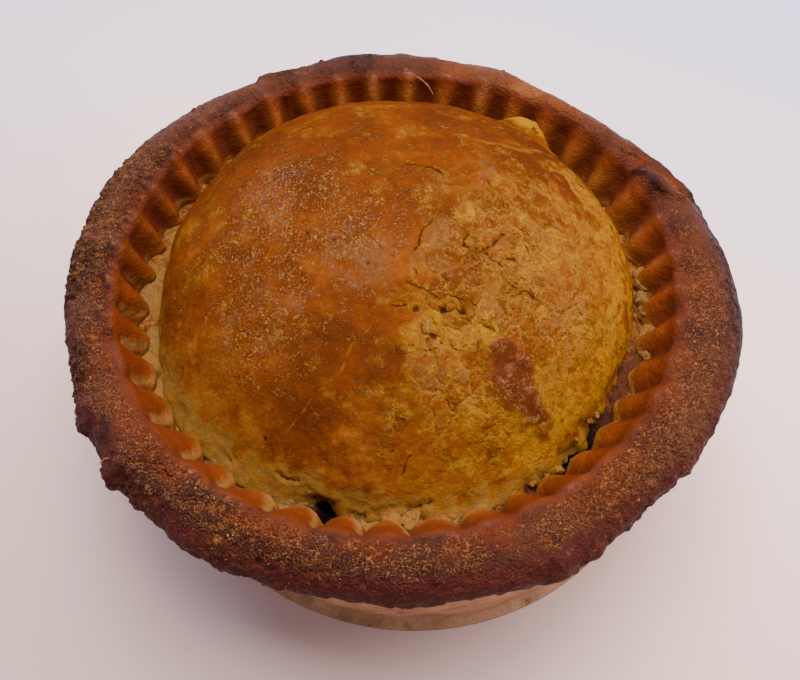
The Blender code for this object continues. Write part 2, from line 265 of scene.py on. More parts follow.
# Round the lid: angle, spread in degrees, amount.
ISLES = ((352, 34, 1.0), (38, 20, 0.9), (295, 20, 0.5))
GOLDEN_TOWARDS = 345.0
YOLKY_SIDE = ((345, 34, 1.0), (50, 16, 0.6), (305, 14, 0.4))
LID_TAB = ((57, 3.0, 1.0), (51.5, 2.8, 0.9), (47, 2.4, 0.4))
GOLDEN_EDGE = ((176, 34, 1.0), (120, 20, 0.3))
DOUGHY_SKIRT = ((226, 24, 1.0), (262, 18, 0.65), (190, 12, 0.5), (304, 14, 0.5))
# Lumps of pale dough: places, half size in millimetres.
DOUGH_LUMPS = (
    (34.3, 2.7, 28.7, 1.3), (33.7, -1.9, 28.4, 1.5), (34.2, -7.0, 27.8, 1.4), (33.6, -9.8, 27.6, 1.3),
    (32.8, -12.4, 27.5, 1.2), (-1.0, -33.6, 27.5, 1.4), (1.0, -33.4, 27.4, 1.3), (6.0, -32.9, 27.1, 1.2),
    (9.8, -32.0, 27.1, 1.1),
)
DOUGH_CRUMBS = (
    (24.1, -20.4, 29.5, 0.40), (25.0, -19.6, 29.6, 0.34), (22.2, -22.8, 28.9, 0.30),
    (28.2, -17.6, 28.1, 0.36), (21.8, -25.2, 27.8, 0.46), (19.8, -26.4, 27.7, 0.54),
    (18.2, -27.2, 27.6, 0.50), (16.4, -28.4, 27.6, 0.46),
)
# Threads of baked egg and dough: radius, then places.
THREADS = (
    (0.15, ((1.9, 37.0, 35.7), (3.2, 36.1, 35.5), (4.3, 35.2, 34.8), (5.0, 34.4, 33.9))),
    (0.10, ((-34.6, -28.0, 34.5), (-35.5, -28.2, 34.5), (-36.2, -28.9, 34.3))),
)
# A band of dull skin and the corners of a dark red patch, across and back.
BLUSH_BAND = ((2.2, -5.9), (4.6, -6.9), (7.1, -8.0), (9.5, -9.3), (11.7, -10.8))
RED_PATCH = (
    (11.8, -15.5), (13.7, -14.4), (14.9, -15.5), (15.5, -17.6), (16.2, -19.5), (17.5, -20.7),
    (18.9, -21.7), (18.6, -22.8), (17.0, -23.7), (15.6, -23.3), (13.6, -22.5), (11.7, -21.4),
    (10.5, -19.4), (10.2, -17.6), (10.8, -16.2),
)


# ---------------------------------------------------------------- noise


def hashed(ix, iy, iz, seed):
    """A repeatable number from 0 to 1 for each lattice corner: integers multiplied and bit-mixed."""
    mixed = (
        ix.astype(np.uint32) * np.uint32(374761393)
        + iy.astype(np.uint32) * np.uint32(668265263)
        + iz.astype(np.uint32) * np.uint32(2246822519)
        + np.uint32(seed * 3266489917 % 4294967296)
    )
    mixed = (mixed ^ (mixed >> np.uint32(15))) * np.uint32(2246822519)
    mixed = (mixed ^ (mixed >> np.uint32(13))) * np.uint32(3266489917)
    mixed = mixed ^ (mixed >> np.uint32(16))
    return mixed / 4294967296.0


def draws(index, seed, kind=0):
    """A repeatable number from 0 to 1 for each index."""
    return hashed(index, index * 0, index * 0 + kind, seed)


def noise(points, size, seed=0):
    """Smooth noise from -1 to 1: random corner values blended by 6t^5 - 15t^4 + 10t^3 on each axis."""
    scaled = points / size + 1000.0
    cell = np.floor(scaled).astype(np.int64)
    t = scaled - cell
    t = t * t * t * (t * (t * 6 - 15) + 10)
    total = np.zeros(points.shape[:-1])
    for corner in itertools.product((0, 1), repeat=3):
        step = np.array(corner)
        share = np.prod(np.where(step == 1, t, 1 - t), axis=-1)
        at = cell + step
        total += share * hashed(at[..., 0], at[..., 1], at[..., 2], seed)
    return 2 * total - 1


def fractal(points, size, octaves=4, seed=0, gain=0.5):
    """A sum of noises, each half the size and gain times the height of the one before."""
    total = np.zeros(points.shape[:-1])
    for octave in range(octaves):
        total += gain**octave * noise(points, size / 2**octave, seed + octave)
    return total


def cells(points, size, seed=0):
    """Cell noise: distances to the nearest and second nearest of one random point per lattice cube, in
    cube widths, and the nearest point's own random number.
    """
    scaled = points / size + 1000.0
    cell = np.floor(scaled).astype(np.int64)
    nearest = np.full(points.shape[:-1], 9.0)
    second = nearest.copy()
    value = np.zeros_like(nearest)
    for corner in itertools.product((-1, 0, 1), repeat=3):
        at = cell + np.array(corner)
        spot = [hashed(at[..., 0], at[..., 1], at[..., 2], seed + k) for k in range(3)]
        away = np.sqrt(((at + np.stack(spot, -1) - scaled) ** 2).sum(-1))
        closer = away < nearest
        second = np.where(closer, nearest, np.minimum(second, away))
        value = np.where(closer, spot[0], value)
        nearest = np.where(closer, away, nearest)
    return nearest, second, value


def smooth(low, high, value):
    """0 below low, 1 above high, and 3t^2 - 2t^3 between."""
    t = np.clip((value - low) / (high - low), 0, 1)
    return t * t * (3 - 2 * t)


# ---------------------------------------------------------------- the pie's form


def degrees_round(steps):
    """Equal steps round the pie, in degrees."""
    return np.arange(steps) * 360.0 / steps


def bell(away, spread):
    """1 at no distance, falling as a normal curve of this spread."""
    return np.exp(-0.5 * (away / spread) ** 2)


def bumps(angle, table):
    """The sum of the table's bell-shaped bumps at each angle, in degrees."""
    total = np.zeros_like(angle)
    for centre, spread, height in table:
        away = (angle - centre + 180) % 360 - 180
        total += height * bell(away, spread)
    return total


def band(angle, table):
    """The bumps held between 0 and 1, as a column beside a profile's points where angle has one axis."""
    held = np.clip(bumps(angle, table), 0, 1)
    return held[:, None] if angle.ndim == 1 else held


def spots(x, y, table):
    """The sum of the table's round bells at each place, with places and spreads in millimetres."""
    total = np.zeros_like(x)
    for across, back, spread, amount in table:
        total += amount * np.exp(-0.5 * ((x - across) ** 2 + (y - back) ** 2) / spread**2)
    return total


def line_offset(x, y, line):
    """Distance from each place to a broken line: the least over its legs of the distance to the nearest
    point of the leg. It is negative on the right of that leg.
    """
    least = np.full(x.shape, 1e9)
    for (ax, ay), (bx, by) in zip(line[:-1], line[1:]):
        dx, dy = bx - ax, by - ay
        along = np.clip(((x - ax) * dx + (y - ay) * dy) / (dx**2 + dy**2), 0, 1)
        away = np.hypot(x - ax - along * dx, y - ay - along * dy)
        side = np.where(dx * (y - ay) > dy * (x - ax), 1, -1)
        least = np.where(away < np.abs(least), away * side, least)
    return least


def line_distance(x, y, line):
    """Distance from each place to a broken line."""
    return np.abs(line_offset(x, y, line))


def patch_depth(x, y, corners):
    """Distance inside a closed outline, negative outside: distance to its sides, its sign from counting
    the sides crossed.
    """
    ring = corners + corners[:1]
    crossed = np.zeros(x.shape, bool)
    for (ax, ay), (bx, by) in zip(ring[:-1], ring[1:]):
        spans = (ay > y) != (by > y)
        reach = ax + (y - ay) * (bx - ax) / (by - ay if by != ay else 1e-9)
        crossed ^= spans & (x < reach)
    return line_distance(x, y, ring) * np.where(crossed, 1, -1)


def rim_edge(angle):
    """Distance from the middle to the rim's outermost edge."""
    return RIM_RADIUS + bumps(angle, RIM_SWELLS) + bumps(angle, RIM_LUMPS)


def crimp_foot(angle):
    """Distance from the middle to the foot of the crimps, a ring a little off the middle."""
    return FOOT_RADIUS + FOOT_SHIFT * np.cos(np.radians(angle - FOOT_SHIFT_TOWARDS))


def slope_run(angle):
    """How far the crimped slope leans inwards on its way down."""
    return SLOPE_RUN + bumps(angle, STEEP_SLOPES)


def shoulder(angle):
    """Distance from the middle to the top of the crimps."""
    return crimp_foot(angle) + slope_run(angle)


def lid_foot(angle):
    """Distance from the pie's middle to the lid's foot, which stands about its own middle."""
    turn = np.radians(angle)
    along = LID_CENTRE[0] * np.cos(turn) + LID_CENTRE[1] * np.sin(turn)
    return LID_RADIUS + along + bumps(angle, SKIRT_SPREADS)


def upright(radius, angle, height):
    """Points at these radii, angles in degrees and heights about the pie's middle."""
    turn = np.radians(angle)
    return np.stack([radius * np.cos(turn), radius * np.sin(turn), height + 0 * turn], -1)


def through(points, steps):
    """A Catmull-Rom curve through control points along the second axis, with the given steps in each span."""
    before = np.concatenate([points[:, :1], points, points[:, -1:]], 1)
    parts = []
    for span, count in enumerate(steps):
        t = (np.arange(count) / count)[None, :, None]
        a, b, c, d = (before[:, span + k : span + k + 1] for k in range(4))
        parts.append(
            b
            + 0.5 * t * (c - a)
            + t * t * (a - 2.5 * b + 2 * c - 0.5 * d)
            + t**3 * (1.5 * (b - c) + 0.5 * (d - a))
        )
    return np.concatenate(parts, 1)


def carried(controls, angle, steps, closed):
    """Pairs of radius and height carried round the angles and joined by a Catmull-Rom curve, which comes
    back to its start if closed.
    """
    profile = np.stack([upright(r, angle, z) for r, z in controls], 1)
    if closed:
        return through(np.concatenate([profile, profile[:, :1]], 1), steps)
    return np.concatenate([through(profile, steps), profile[:, -1:]], 1)


def span_place(steps):
    """The place along the profile in spans, for each point that through() gives."""
    return np.concatenate([np.arange(count) / count + span for span, count in enumerate(steps)])


def grid_normals(points, around=True):
    """Unit normals of a grid of points, from the cross product of its two directions of travel."""
    if around:
        wide = np.roll(points, -1, 0) - np.roll(points, 1, 0)
    else:
        wide = np.gradient(points, axis=0)
    long = np.gradient(points, axis=1)
    normal = np.cross(wide, long)
    return normal / np.maximum(np.linalg.norm(normal, axis=-1, keepdims=True), 1e-9)


# ---------------------------------------------------------------- meshes


def make_piece(name, points, groups, masks, material):
    """Puts a surface into a mesh in metres, with its masks as point attributes, and rides it on the pie.
    Each group is an array of faces with the same number of corners.
    """
    data = bpy.data.meshes.new(name)
    data.vertices.add(len(points))
    data.vertices.foreach_set("co", (points * MM).astype(np.float32).ravel())
    corners = np.concatenate([g.ravel() for g in groups])
    sizes = np.concatenate([np.full(len(g), g.shape[1]) for g in groups])
    starts = np.concatenate([[0], np.cumsum(sizes)[:-1]])
    data.loops.add(len(corners))
    data.loops.foreach_set("vertex_index", corners.astype(np.int32))
    data.polygons.add(len(sizes))
    data.polygons.foreach_set("loop_start", starts.astype(np.int32))
    data.update(calc_edges=True)
    for mask, values in masks.items():
        layer = data.attributes.new(mask, "FLOAT", "POINT")
        layer.data.foreach_set("value", np.asarray(values, np.float32).ravel())
    data.shade_smooth()
    data.materials.append(material)
    piece = bpy.data.objects.new(name, data)
    bpy.context.scene.collection.objects.link(piece)
    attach(piece, BODY)
    return piece


def tube_faces(around, along, closed_along):
    """Quads of a grid that closes round its first axis, and also along its second if asked."""
    i = np.arange(around)[:, None]
    j = np.arange(along if closed_along else along - 1)[None, :]
    ahead, up = (i + 1) % around, (j + 1) % along
    corners = (i * along + j, ahead * along + j, ahead * along + up, i * along + up)
    return np.stack(np.broadcast_arrays(*corners), -1).reshape(-1, 4)


def fan_faces(ring, middle):
    """Triangles from each step of a ring to one middle point."""
    return np.stack([ring, np.roll(ring, -1), np.full(len(ring), middle)], -1)


# ---------------------------------------------------------------- materials


class Tree:
    """Short ways to add and link the nodes of one material."""

    def __init__(self, name):
        self.material = bpy.data.materials.new(name)
        self.material.use_nodes = True
        self.nodes = self.material.node_tree.nodes
        self.links = self.material.node_tree.links
        self.shader = self.nodes["Principled BSDF"]
        self.coords = self.nodes.new("ShaderNodeTexCoord").outputs["Object"]

    def put(self, socket, value):
        """Links an output into a socket, or sets the socket to a constant."""
        if isinstance(value, bpy.types.NodeSocket):
            self.links.new(value, socket)
        elif isinstance(value, tuple) and len(value) == 3 and len(socket.default_value) == 4:
            socket.default_value = (*value, 1.0)
        else:
            socket.default_value = value

    def mask(self, name):
        """The factor of a point attribute."""
        node = self.nodes.new("ShaderNodeAttribute")
        node.attribute_name = name
        return node.outputs["Fac"]

    def math(self, kind, a, b=0.0, clamp=False):
        """One arithmetic step."""
        node = self.nodes.new("ShaderNodeMath")
        node.operation = kind
        node.use_clamp = clamp
        self.put(node.inputs[0], a)
        self.put(node.inputs[1], b)
        return node.outputs[0]

    def times(self, a, b, clamp=False):
        """The product of two values."""
        return self.math("MULTIPLY", a, b, clamp)

    def sum(self, *terms):
        """Adds terms, each an output or an (output, amount) pair."""
        total = None
        for term in terms:
            if isinstance(term, tuple):
                term = self.times(*term)
            total = term if total is None else self.math("ADD", total, term)
        return total

    def noise(self, scale, detail=3.0, rough=0.55):
        """Noise about zero in object space, scale being features per metre."""
        node = self.nodes.new("ShaderNodeTexNoise")
        self.links.new(self.coords, node.inputs["Vector"])
        node.inputs["Scale"].default_value = scale
        node.inputs["Detail"].default_value = detail
        node.inputs["Roughness"].default_value = rough
        return self.math("SUBTRACT", node.outputs["Fac"], 0.5)

    def bent(self, amount, scale, squash=(1.0, 1.0, 1.0)):
        """Object space squashed on its axes and bent by noise, the amount in metres."""
        node = self.nodes.new("ShaderNodeTexNoise")
        self.links.new(self.coords, node.inputs["Vector"])
        node.inputs["Scale"].default_value = scale
        out = node.outputs["Color"]
        for kind, change in (("MULTIPLY", (amount,) * 3), ("ADD", self.coords), ("MULTIPLY", squash)):
            step = self.nodes.new("ShaderNodeVectorMath")
            step.operation = kind
            self.links.new(out, step.inputs[0])
            self.put(step.inputs[1], change)
            out = step.outputs[0]
        return out

    def grains(self, scale, feature="F1", where=None):
        """Distance to the nearest cell point, or to the cell's border."""
        node = self.nodes.new("ShaderNodeTexVoronoi")
        node.feature = feature
        self.links.new(where or self.coords, node.inputs["Vector"])
        node.inputs["Scale"].default_value = scale
        return node.outputs["Distance"]

    def tones(self, scale, where=None):
        """A random number from 0 to 1 for each cell, in object space."""
        node = self.nodes.new("ShaderNodeTexVoronoi")
        self.links.new(where or self.coords, node.inputs["Vector"])
        node.inputs["Scale"].default_value = scale
        split = self.nodes.new("ShaderNodeSeparateColor")
        self.links.new(node.outputs["Color"], split.inputs[0])
        return split.outputs[0]

    def ramp(self, value, stops):
        """A colour ramp with (place, colour) stops."""
        node = self.nodes.new("ShaderNodeValToRGB")
        self.put(node.inputs[0], value)
        while len(node.color_ramp.elements) < len(stops):
            node.color_ramp.elements.new(0.5)
        for element, (place, colour) in zip(node.color_ramp.elements, stops):
            element.position = place
            element.color = (*colour[:3], 1.0)
        return node.outputs["Color"]

    def spread(self, value, low, high, to_low=0.0, to_high=1.0):
        """Maps a value from one range to another and clamps it."""
        node = self.nodes.new("ShaderNodeMapRange")
        for socket, number in zip(node.inputs, (value, low, high, to_low, to_high)):
            self.put(socket, number)
        return node.outputs["Result"]

    def blend(self, share, first, second):
        """Mixes two colours."""
        node = self.nodes.new("ShaderNodeMix")
        node.data_type = "RGBA"
        self.put(node.inputs["Factor"], share)
        for socket, value in zip((node.inputs[6], node.inputs[7]), (first, second)):
            self.put(socket, value if isinstance(value, bpy.types.NodeSocket) else tuple(value[:3]))
        return node.outputs[2]

    def lay(self, base, colour, mask, terms, low, high, most):
        """Lays a colour over the base by a mask roughened with terms, spread from low to high, up to most."""
        share = self.spread(self.sum(self.mask(mask), *terms), low, high, 0.0, most)
        return self.blend(share, base, colour)

    def bump(self, height, distance, strength=1.0):
        """Feeds a height in metres times distance to the shader's normal."""
        node = self.nodes.new("ShaderNodeBump")
        node.inputs["Strength"].default_value = strength
        node.inputs["Distance"].default_value = distance
        self.put(node.inputs["Height"], height)
        self.links.new(node.outputs["Normal"], self.shader.inputs["Normal"])

    def set(self, **sockets):
        """Sets or links the shader's sockets, their names written with underscores."""
        for name, value in sockets.items():
            self.put(self.shader.inputs[name.replace("_", " ")], value)


# ---------------------------------------------------------------- settings


def colour(name, description, default):
    """A colour setting."""
    return bpy.props.FloatVectorProperty(
        name=name, description=description, default=default, size=3, min=0, max=1, subtype="COLOR"
    )


class PieSizes(bpy.types.PropertyGroup):
    """Sizes and amounts of the pie's fine form."""

    crimps: bpy.props.IntProperty(
        name="Crimps", description="Number of crimps round the rim", default=40, min=8, max=80
    )
    crimp_depth: bpy.props.FloatProperty(
        name="Crimp depth", description="Half the height of a crimp",
        default=1.2 * MM, min=0, max=0.004, unit="LENGTH",
    )
    crust_relief: bpy.props.FloatProperty(
        name="Crust relief", description="How uneven the baked crust is",
        default=1.0, min=0, max=3, subtype="FACTOR",
    )


class PieColours(bpy.types.PropertyGroup):
    """The crust's colours, from pale dough to the darkest bake."""

    cream: colour("Cream", "Unbaked dough", (0.30, 0.16, 0.060))
    straw: colour("Straw", "Lightly baked crust", (0.26, 0.112, 0.0130))
    golden: colour("Golden", "Glazed golden crust", (0.220, 0.068, 0.0110))
    amber: colour("Amber", "Well baked glazed crust", (0.146, 0.0315, 0.0036))
    russet: colour("Russet", "Dark glazed crust", (0.082, 0.0190, 0.0045))
    umber: colour("Umber", "Dark baked crust", (0.042, 0.0105, 0.0055))
    # This colour is the darkest bake and also painted shade in the deepest hollows and the channel's gaps.
    darkest_and_shade: colour("Soot", "The darkest hollows", (0.018, 0.004, 0.003))
    blush: colour("Blush", "Dull skin where the glaze has blistered", (0.165, 0.068, 0.025))
    # This colour is the dry grains' tone and also paints highlights: glints of light along the sandy crest.
    sand_and_glints: colour("Sand", "Dry grains on the rim", (0.30, 0.122, 0.034))
    glaze: colour("Glaze", "Egg-washed crimps", (0.185, 0.0330, 0.0030))
    # This colour is partly the hollows' deep red bake and partly painted shade in them.
    maroon_and_shade: colour("Maroon", "The hollows between crimps", (0.098, 0.0165, 0.0060))
    # This colour is a painted sheen, the pinkish reflection of the bright room on the rim's crust, and also a
    # pinkish tone of some dry grains and clods.
    pink_tone_and_sheen: colour("Bloom", "Dusky bloom on the rim", (0.118, 0.0400, 0.0170))
    case: colour("Case", "The case wall", (0.62, 0.31, 0.165))
    plum: colour("Plum", "The rim's outer face", (0.066, 0.0095, 0.0068))
    ember: colour("Ember", "The dark red patch on the lid", (0.080, 0.0170, 0.0045))
    icing: colour("Icing", "Pinkish cream on the tips of the crimps", (0.23, 0.118, 0.056))
    yolk: colour("Yolk", "The yellow side of the lid", (0.37, 0.165, 0.0030))
    # This colour paints highlights: the fine glints of light on the crazed glaze.
    glint_paint: colour("Gilt", "Fine glints in the crazed glaze", (0.40, 0.18, 0.042))
    tan: colour("Tan", "Glazed crimps towards their feet", (0.225, 0.074, 0.0110))
    rose: colour("Rose", "Pinkish sheen on the dark red patch", (0.190, 0.066, 0.032))
    copper: colour("Copper", "Deep orange glaze behind the crimps", (0.120, 0.0200, 0.0030))
    dough: colour("Dough", "Greyish unbaked dough", (0.185, 0.096, 0.023))


# ---------------------------------------------------------------- case


def case_surface():
    """The case: a profile carried round, from a hidden top out, down the leaning wall and in under the
    base, its foot drawn in and shifted a little aside.
    """
    angle = degrees_round(CASE_STEPS)
    lean = CASE_TOP_RADIUS - CASE_FOOT_RADIUS
    controls = (
        (CASE_FOOT_RADIUS * 0.2, CASE_HEIGHT * 0.55),
        (CASE_TOP_RADIUS - 3.0, CASE_HEIGHT * 0.60),
        (CASE_TOP_RADIUS - 0.6, CASE_HEIGHT * 0.97),
        (CASE_FOOT_RADIUS + lean * 0.78, CASE_HEIGHT * 0.62),
        (CASE_FOOT_RADIUS + lean * 0.55, CASE_HEIGHT * 0.30),
        (CASE_FOOT_RADIUS + lean * 0.30, CASE_HEIGHT * 0.035),
        (CASE_FOOT_RADIUS - 0.1, 0.0),
        (CASE_FOOT_RADIUS * 0.2, 0.0),
    )
    points = carried(controls, angle, (8, 6, 36, 34, 30, 8, 8), False)
    low = np.clip(1 - points[..., 2] / CASE_HEIGHT, 0, 1)
    radius = np.hypot(points[..., 0], points[..., 1])
    points[..., :2] *= (1 - CASE_FOOT_TRIM * low / radius)[..., None]
    points[..., :2] += low[..., None] * np.array(CASE_FOOT_SHIFT)
    points[..., 2] = np.maximum(points[..., 2], 0)
    return points


class PIE_OT_case(bpy.types.Operator):
    """Builds the case: the pie's wall and flat base"""

    bl_idname = "pie.case"
    bl_label = "Case"

    def execute(self, context):
        relief = context.scene.pie_sizes.crust_relief
        points = case_surface()
        around, along = points.shape[:2]
        radius = np.hypot(points[..., 0], points[..., 1])
        outward = points * (1, 1, 0) / radius[..., None]
        wall = smooth(33.5, 35.4, radius) * smooth(0.0, 1.6, points[..., 2])
        push = 0.35 * fractal(points, 14, 3, 11) + 0.06 * fractal(points, 2.4, 3, 12)
        push += 0.05 * np.sin(points[..., 2] * 1.7 + 1.5 * noise(points, 18, 13))
        pocks = cells(points, 3.1, 17)[0]
        push -= 0.22 * smooth(0.22, 0.08, pocks)
        stretched = points * (1, 1, 2.2)
        masks = {
            "bake": 0.40 + 0.24 * fractal(stretched, 8, 4, 14),
            "fleck": smooth(0.30, 0.65, noise(stretched, 1.7, 15) + 0.45 * noise(points, 6, 16)),
            "pock_shade": smooth(0.20, 0.08, pocks),
        }
        points = points + outward * (push * wall * relief)[..., None]
        flat = points.reshape(-1, 3)
        top, base = len(flat), len(flat) + 1
        flat = np.concatenate([flat, [[0, 0, CASE_HEIGHT * 0.55], [0, 0, 0]]])
        masks = {k: np.append(v.ravel(), (0.5, 0.5)) for k, v in masks.items()}
        row = np.arange(around) * along
        groups = (
            tube_faces(around, along, False)[:, ::-1],
            fan_faces(row, top),
            fan_faces(row[::-1] + along - 1, base),
        )
        case = make_piece("case", flat, groups, masks, case_material())
        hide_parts(NODE)
        return {"FINISHED"}


def case_material():
    """Matte hot-water crust: mottled tan and brown with golden flecks and fine grain, and painted shade in
    its pocks.
    """
    c = bpy.context.scene.pie_colours
    t = Tree("case_crust")
    bake = t.sum(t.mask("bake"), (t.noise(500, 4), 0.5), (t.noise(1900, 3), 0.3))
    base = t.ramp(bake, ((0.02, c.cream), (0.35, c.case), (1.0, c.blush)))
    base = t.blend(t.times(t.mask("fleck"), 0.35), base, c.straw)
    # Painted shade: the sunk pocks are darkened with umber.
    base = t.blend(t.times(t.mask("pock_shade"), 0.5), base, c.umber)
    t.set(Base_Color=base, Roughness=0.6, Specular_IOR_Level=0.25)
    t.bump(t.sum((t.noise(900, 4), 1.5), t.noise(3200, 3)), 0.0003)
    return t.material


# ---------------------------------------------------------------- rim


def crimp_wave(angle, crimps):
    """1 on the round back of a crimp and -1 in the hollow: twice a power of sin^2 less one of half the
    phase, which drifts round the pie. A power near 1 makes even ridges and hollows, and a small one
    round lobes with narrow hollows. Returns the wave, the place from hollow to hollow and each crimp's
    number.
    """
    drift = bumps(angle, CRIMP_SHIFTS) - CRIMP_DRIFT * np.cos(np.radians(2 * angle))
    phase = (angle - CRIMP_START - drift) * crimps / 360
    phase = phase + 0.03 * np.sin(np.radians(angle * 7)) + 0.03 * np.sin(np.radians(angle * 11))
    number = np.floor(phase)
    place = phase - number
    power = 1.05 + bumps(angle, CRIMP_SHARPNESS)
    return 2 * (np.sin(math.pi * place) ** 2) ** power - 1, place, number.astype(np.int64)


def rim_surface(sizes):
    """The rim: a closed profile carried round. It goes from inside the case wall out under the lip, round
    the outer face, over the crest, down the crimped slope and back inside. The crimps push the slope in
    and out by their wave.
    """
    angle = degrees_round(RIM_STEPS)
    edge, inner = rim_edge(angle), shoulder(angle)
    wide, run = edge - inner, slope_run(angle)
    raised = bumps(angle, CREST_RAISES)
    wave, place, number = crimp_wave(angle, sizes.crimps)
    uneven = (0.82 + 0.36 * draws(number, 5)) * (1 - bumps(angle, CRIMP_SHALLOWS))
    deep = sizes.crimp_depth / MM * uneven * wave
    long_pleat = bumps(angle, LONG_PLEATS)
    controls = [
        (CASE_TOP_RADIUS - 2.5, 25.5),
        (CASE_TOP_RADIUS - 0.2, 26.9),
        (edge - 3.0, 27.7),
        (edge - 1.1, 29.0),
        (edge, 31.0),
        (edge - 0.3, 32.8),
        (inner + wide * 0.76, RIM_CREST - 0.8 + raised * 0.7),
        (inner + wide * 0.46, RIM_CREST + raised + 0.4 * long_pleat * deep),
        (inner + wide * 0.17 - deep * 0.05, RIM_CREST - 0.25 + raised * 0.5 + (0.14 + long_pleat) * deep),
    ]
    for down, depth in ((0.0, 0.15), (0.22, 0.52), (0.5, 0.92), (0.8, 1.05), (1.0, 0.95)):
        push = deep * depth
        lift = (0.34 + long_pleat) * deep * (1 - down) ** 2
        controls.append((inner - run * down - push, SLOPE_TOP - (SLOPE_TOP - SLOPE_FOOT) * down + lift))
    controls += [(inner - run + 0.3 - deep * 0.4, 26.2), (inner - 1.5, 24.8)]
    steps = (1, 3, 4, 7, 8, 8, 9, 9, 6, 6, 7, 7, 5, 3, 2, 1)
    return carried(controls, angle, steps, True), angle, span_place(steps), wave, place, number


def rim_zones(down):
    """How much each place of the profile belongs to the outer face, spans 3 to 5, to the crest, spans 5
    to 8, and to the crimped slope, spans 8 to 13.
    """
    outer = smooth(2.0, 3.2, down) * (1 - smooth(5.6, 6.8, down))
    top = smooth(5.0, 6.2, down) * (1 - smooth(8.1, 9.2, down))
    return outer, top, smooth(8.0, 9.2, down)


def rim_relief(points, angle, down):
    """The push along the normal: noises, folds and, where the crest is coarse, clods, which are cells that
    bulge by half a width less the distance to their middle and are parted by grooves. Returns the push and
    the folds, clods, grooves, each cell's own number and the coarseness.
    """
    outer, top, slope = rim_zones(down)
    skin = outer + top
    ragged = bumps(angle, RAGGED_EDGES)[:, None]
    coarse = band(angle, COARSE_CREST) * smooth(-0.8, 0.3, noise(points, 9, 35))
    chunk = cells(points, 2.2, 22)[0]
    push = outer * (0.10 + 0.9 * ragged) * (0.55 * (0.45 - chunk) + 0.22 * fractal(points, 1.6, 3, 21))
    push += skin * 0.24 * fractal(points, 8, 2, 27)
    near, second, tone = cells(points + 0.3 * noise(points, 1.0, 36)[..., None], 1.35, 25)
    groove = smooth(0.22, 0.02, second - near)
    clod = coarse * skin * (0.45 * (0.5 - near) - 0.26 * groove)
    push += clod + skin * (0.05 + 0.16 * coarse) * fractal(points, 1.1, 3, 24)
    pores = smooth(0.26, 0.10, cells(points, 2.2, 26)[0]) * (top + 0.6 * outer)
    push -= 0.34 * pores * smooth(-0.2, 0.4, noise(points, 7, 20) + 0.4 * coarse)
    push += slope * (0.10 * fractal(points, 2.0, 3, 28) + 0.10 * noise(points, 4.5, 37))
    fold = 0 * push
    for height, width, line in RIM_FOLDS:
        fold += height * bell(line_distance(points[..., 0], points[..., 1], line), width)
    push += skin * fold * (1 + 0.35 * noise(points, 1.3, 38))
    return push, fold, clod, groove, tone, coarse


def bare_dough(points, angle, place, fall):
    """Bare dough at the crimps' feet, and as crescents along one side of a crimp: a band of an ellipse."""
    ring = np.hypot((place - 0.5) / 0.46, fall / 0.95)
    crescent = smooth(0.66, 1.08, ring + 0.06 * noise(points, 1.5, 42)) * (1 - smooth(1.14, 1.3, ring))
    crescent = crescent * smooth(0.42, 0.66, place) * smooth(0.12, 0.36, fall)
    crescent = crescent * band(angle, CRESCENTS)
    bare = smooth(0.70, 0.96, fall + 0.12 * noise(points, 2.0, 30)) * band(angle, PALE_FEET)
    return np.clip(np.maximum(crescent, bare), 0, 1)


def creamy_tips(points, angle, down, lobe, fall, odd):
    """Cream on the tips of some crimps, and on the crest where it is palest."""
    outer, top, _ = rim_zones(down)
    tips = band(angle, CREAMY_TIPS) * smooth(0.45, 0.95, lobe)
    tips = tips * smooth(8.4, 9.2, down) * (1 - smooth(0.15, 0.6, fall))
    tips = tips * smooth(-0.4, 0.6, noise(points, 2.6, 39) + odd - 0.4)
    return np.clip(tips + 0.3 * bumps(angle, PALE_CREST)[:, None] * (top + 0.5 * outer), 0, 1)


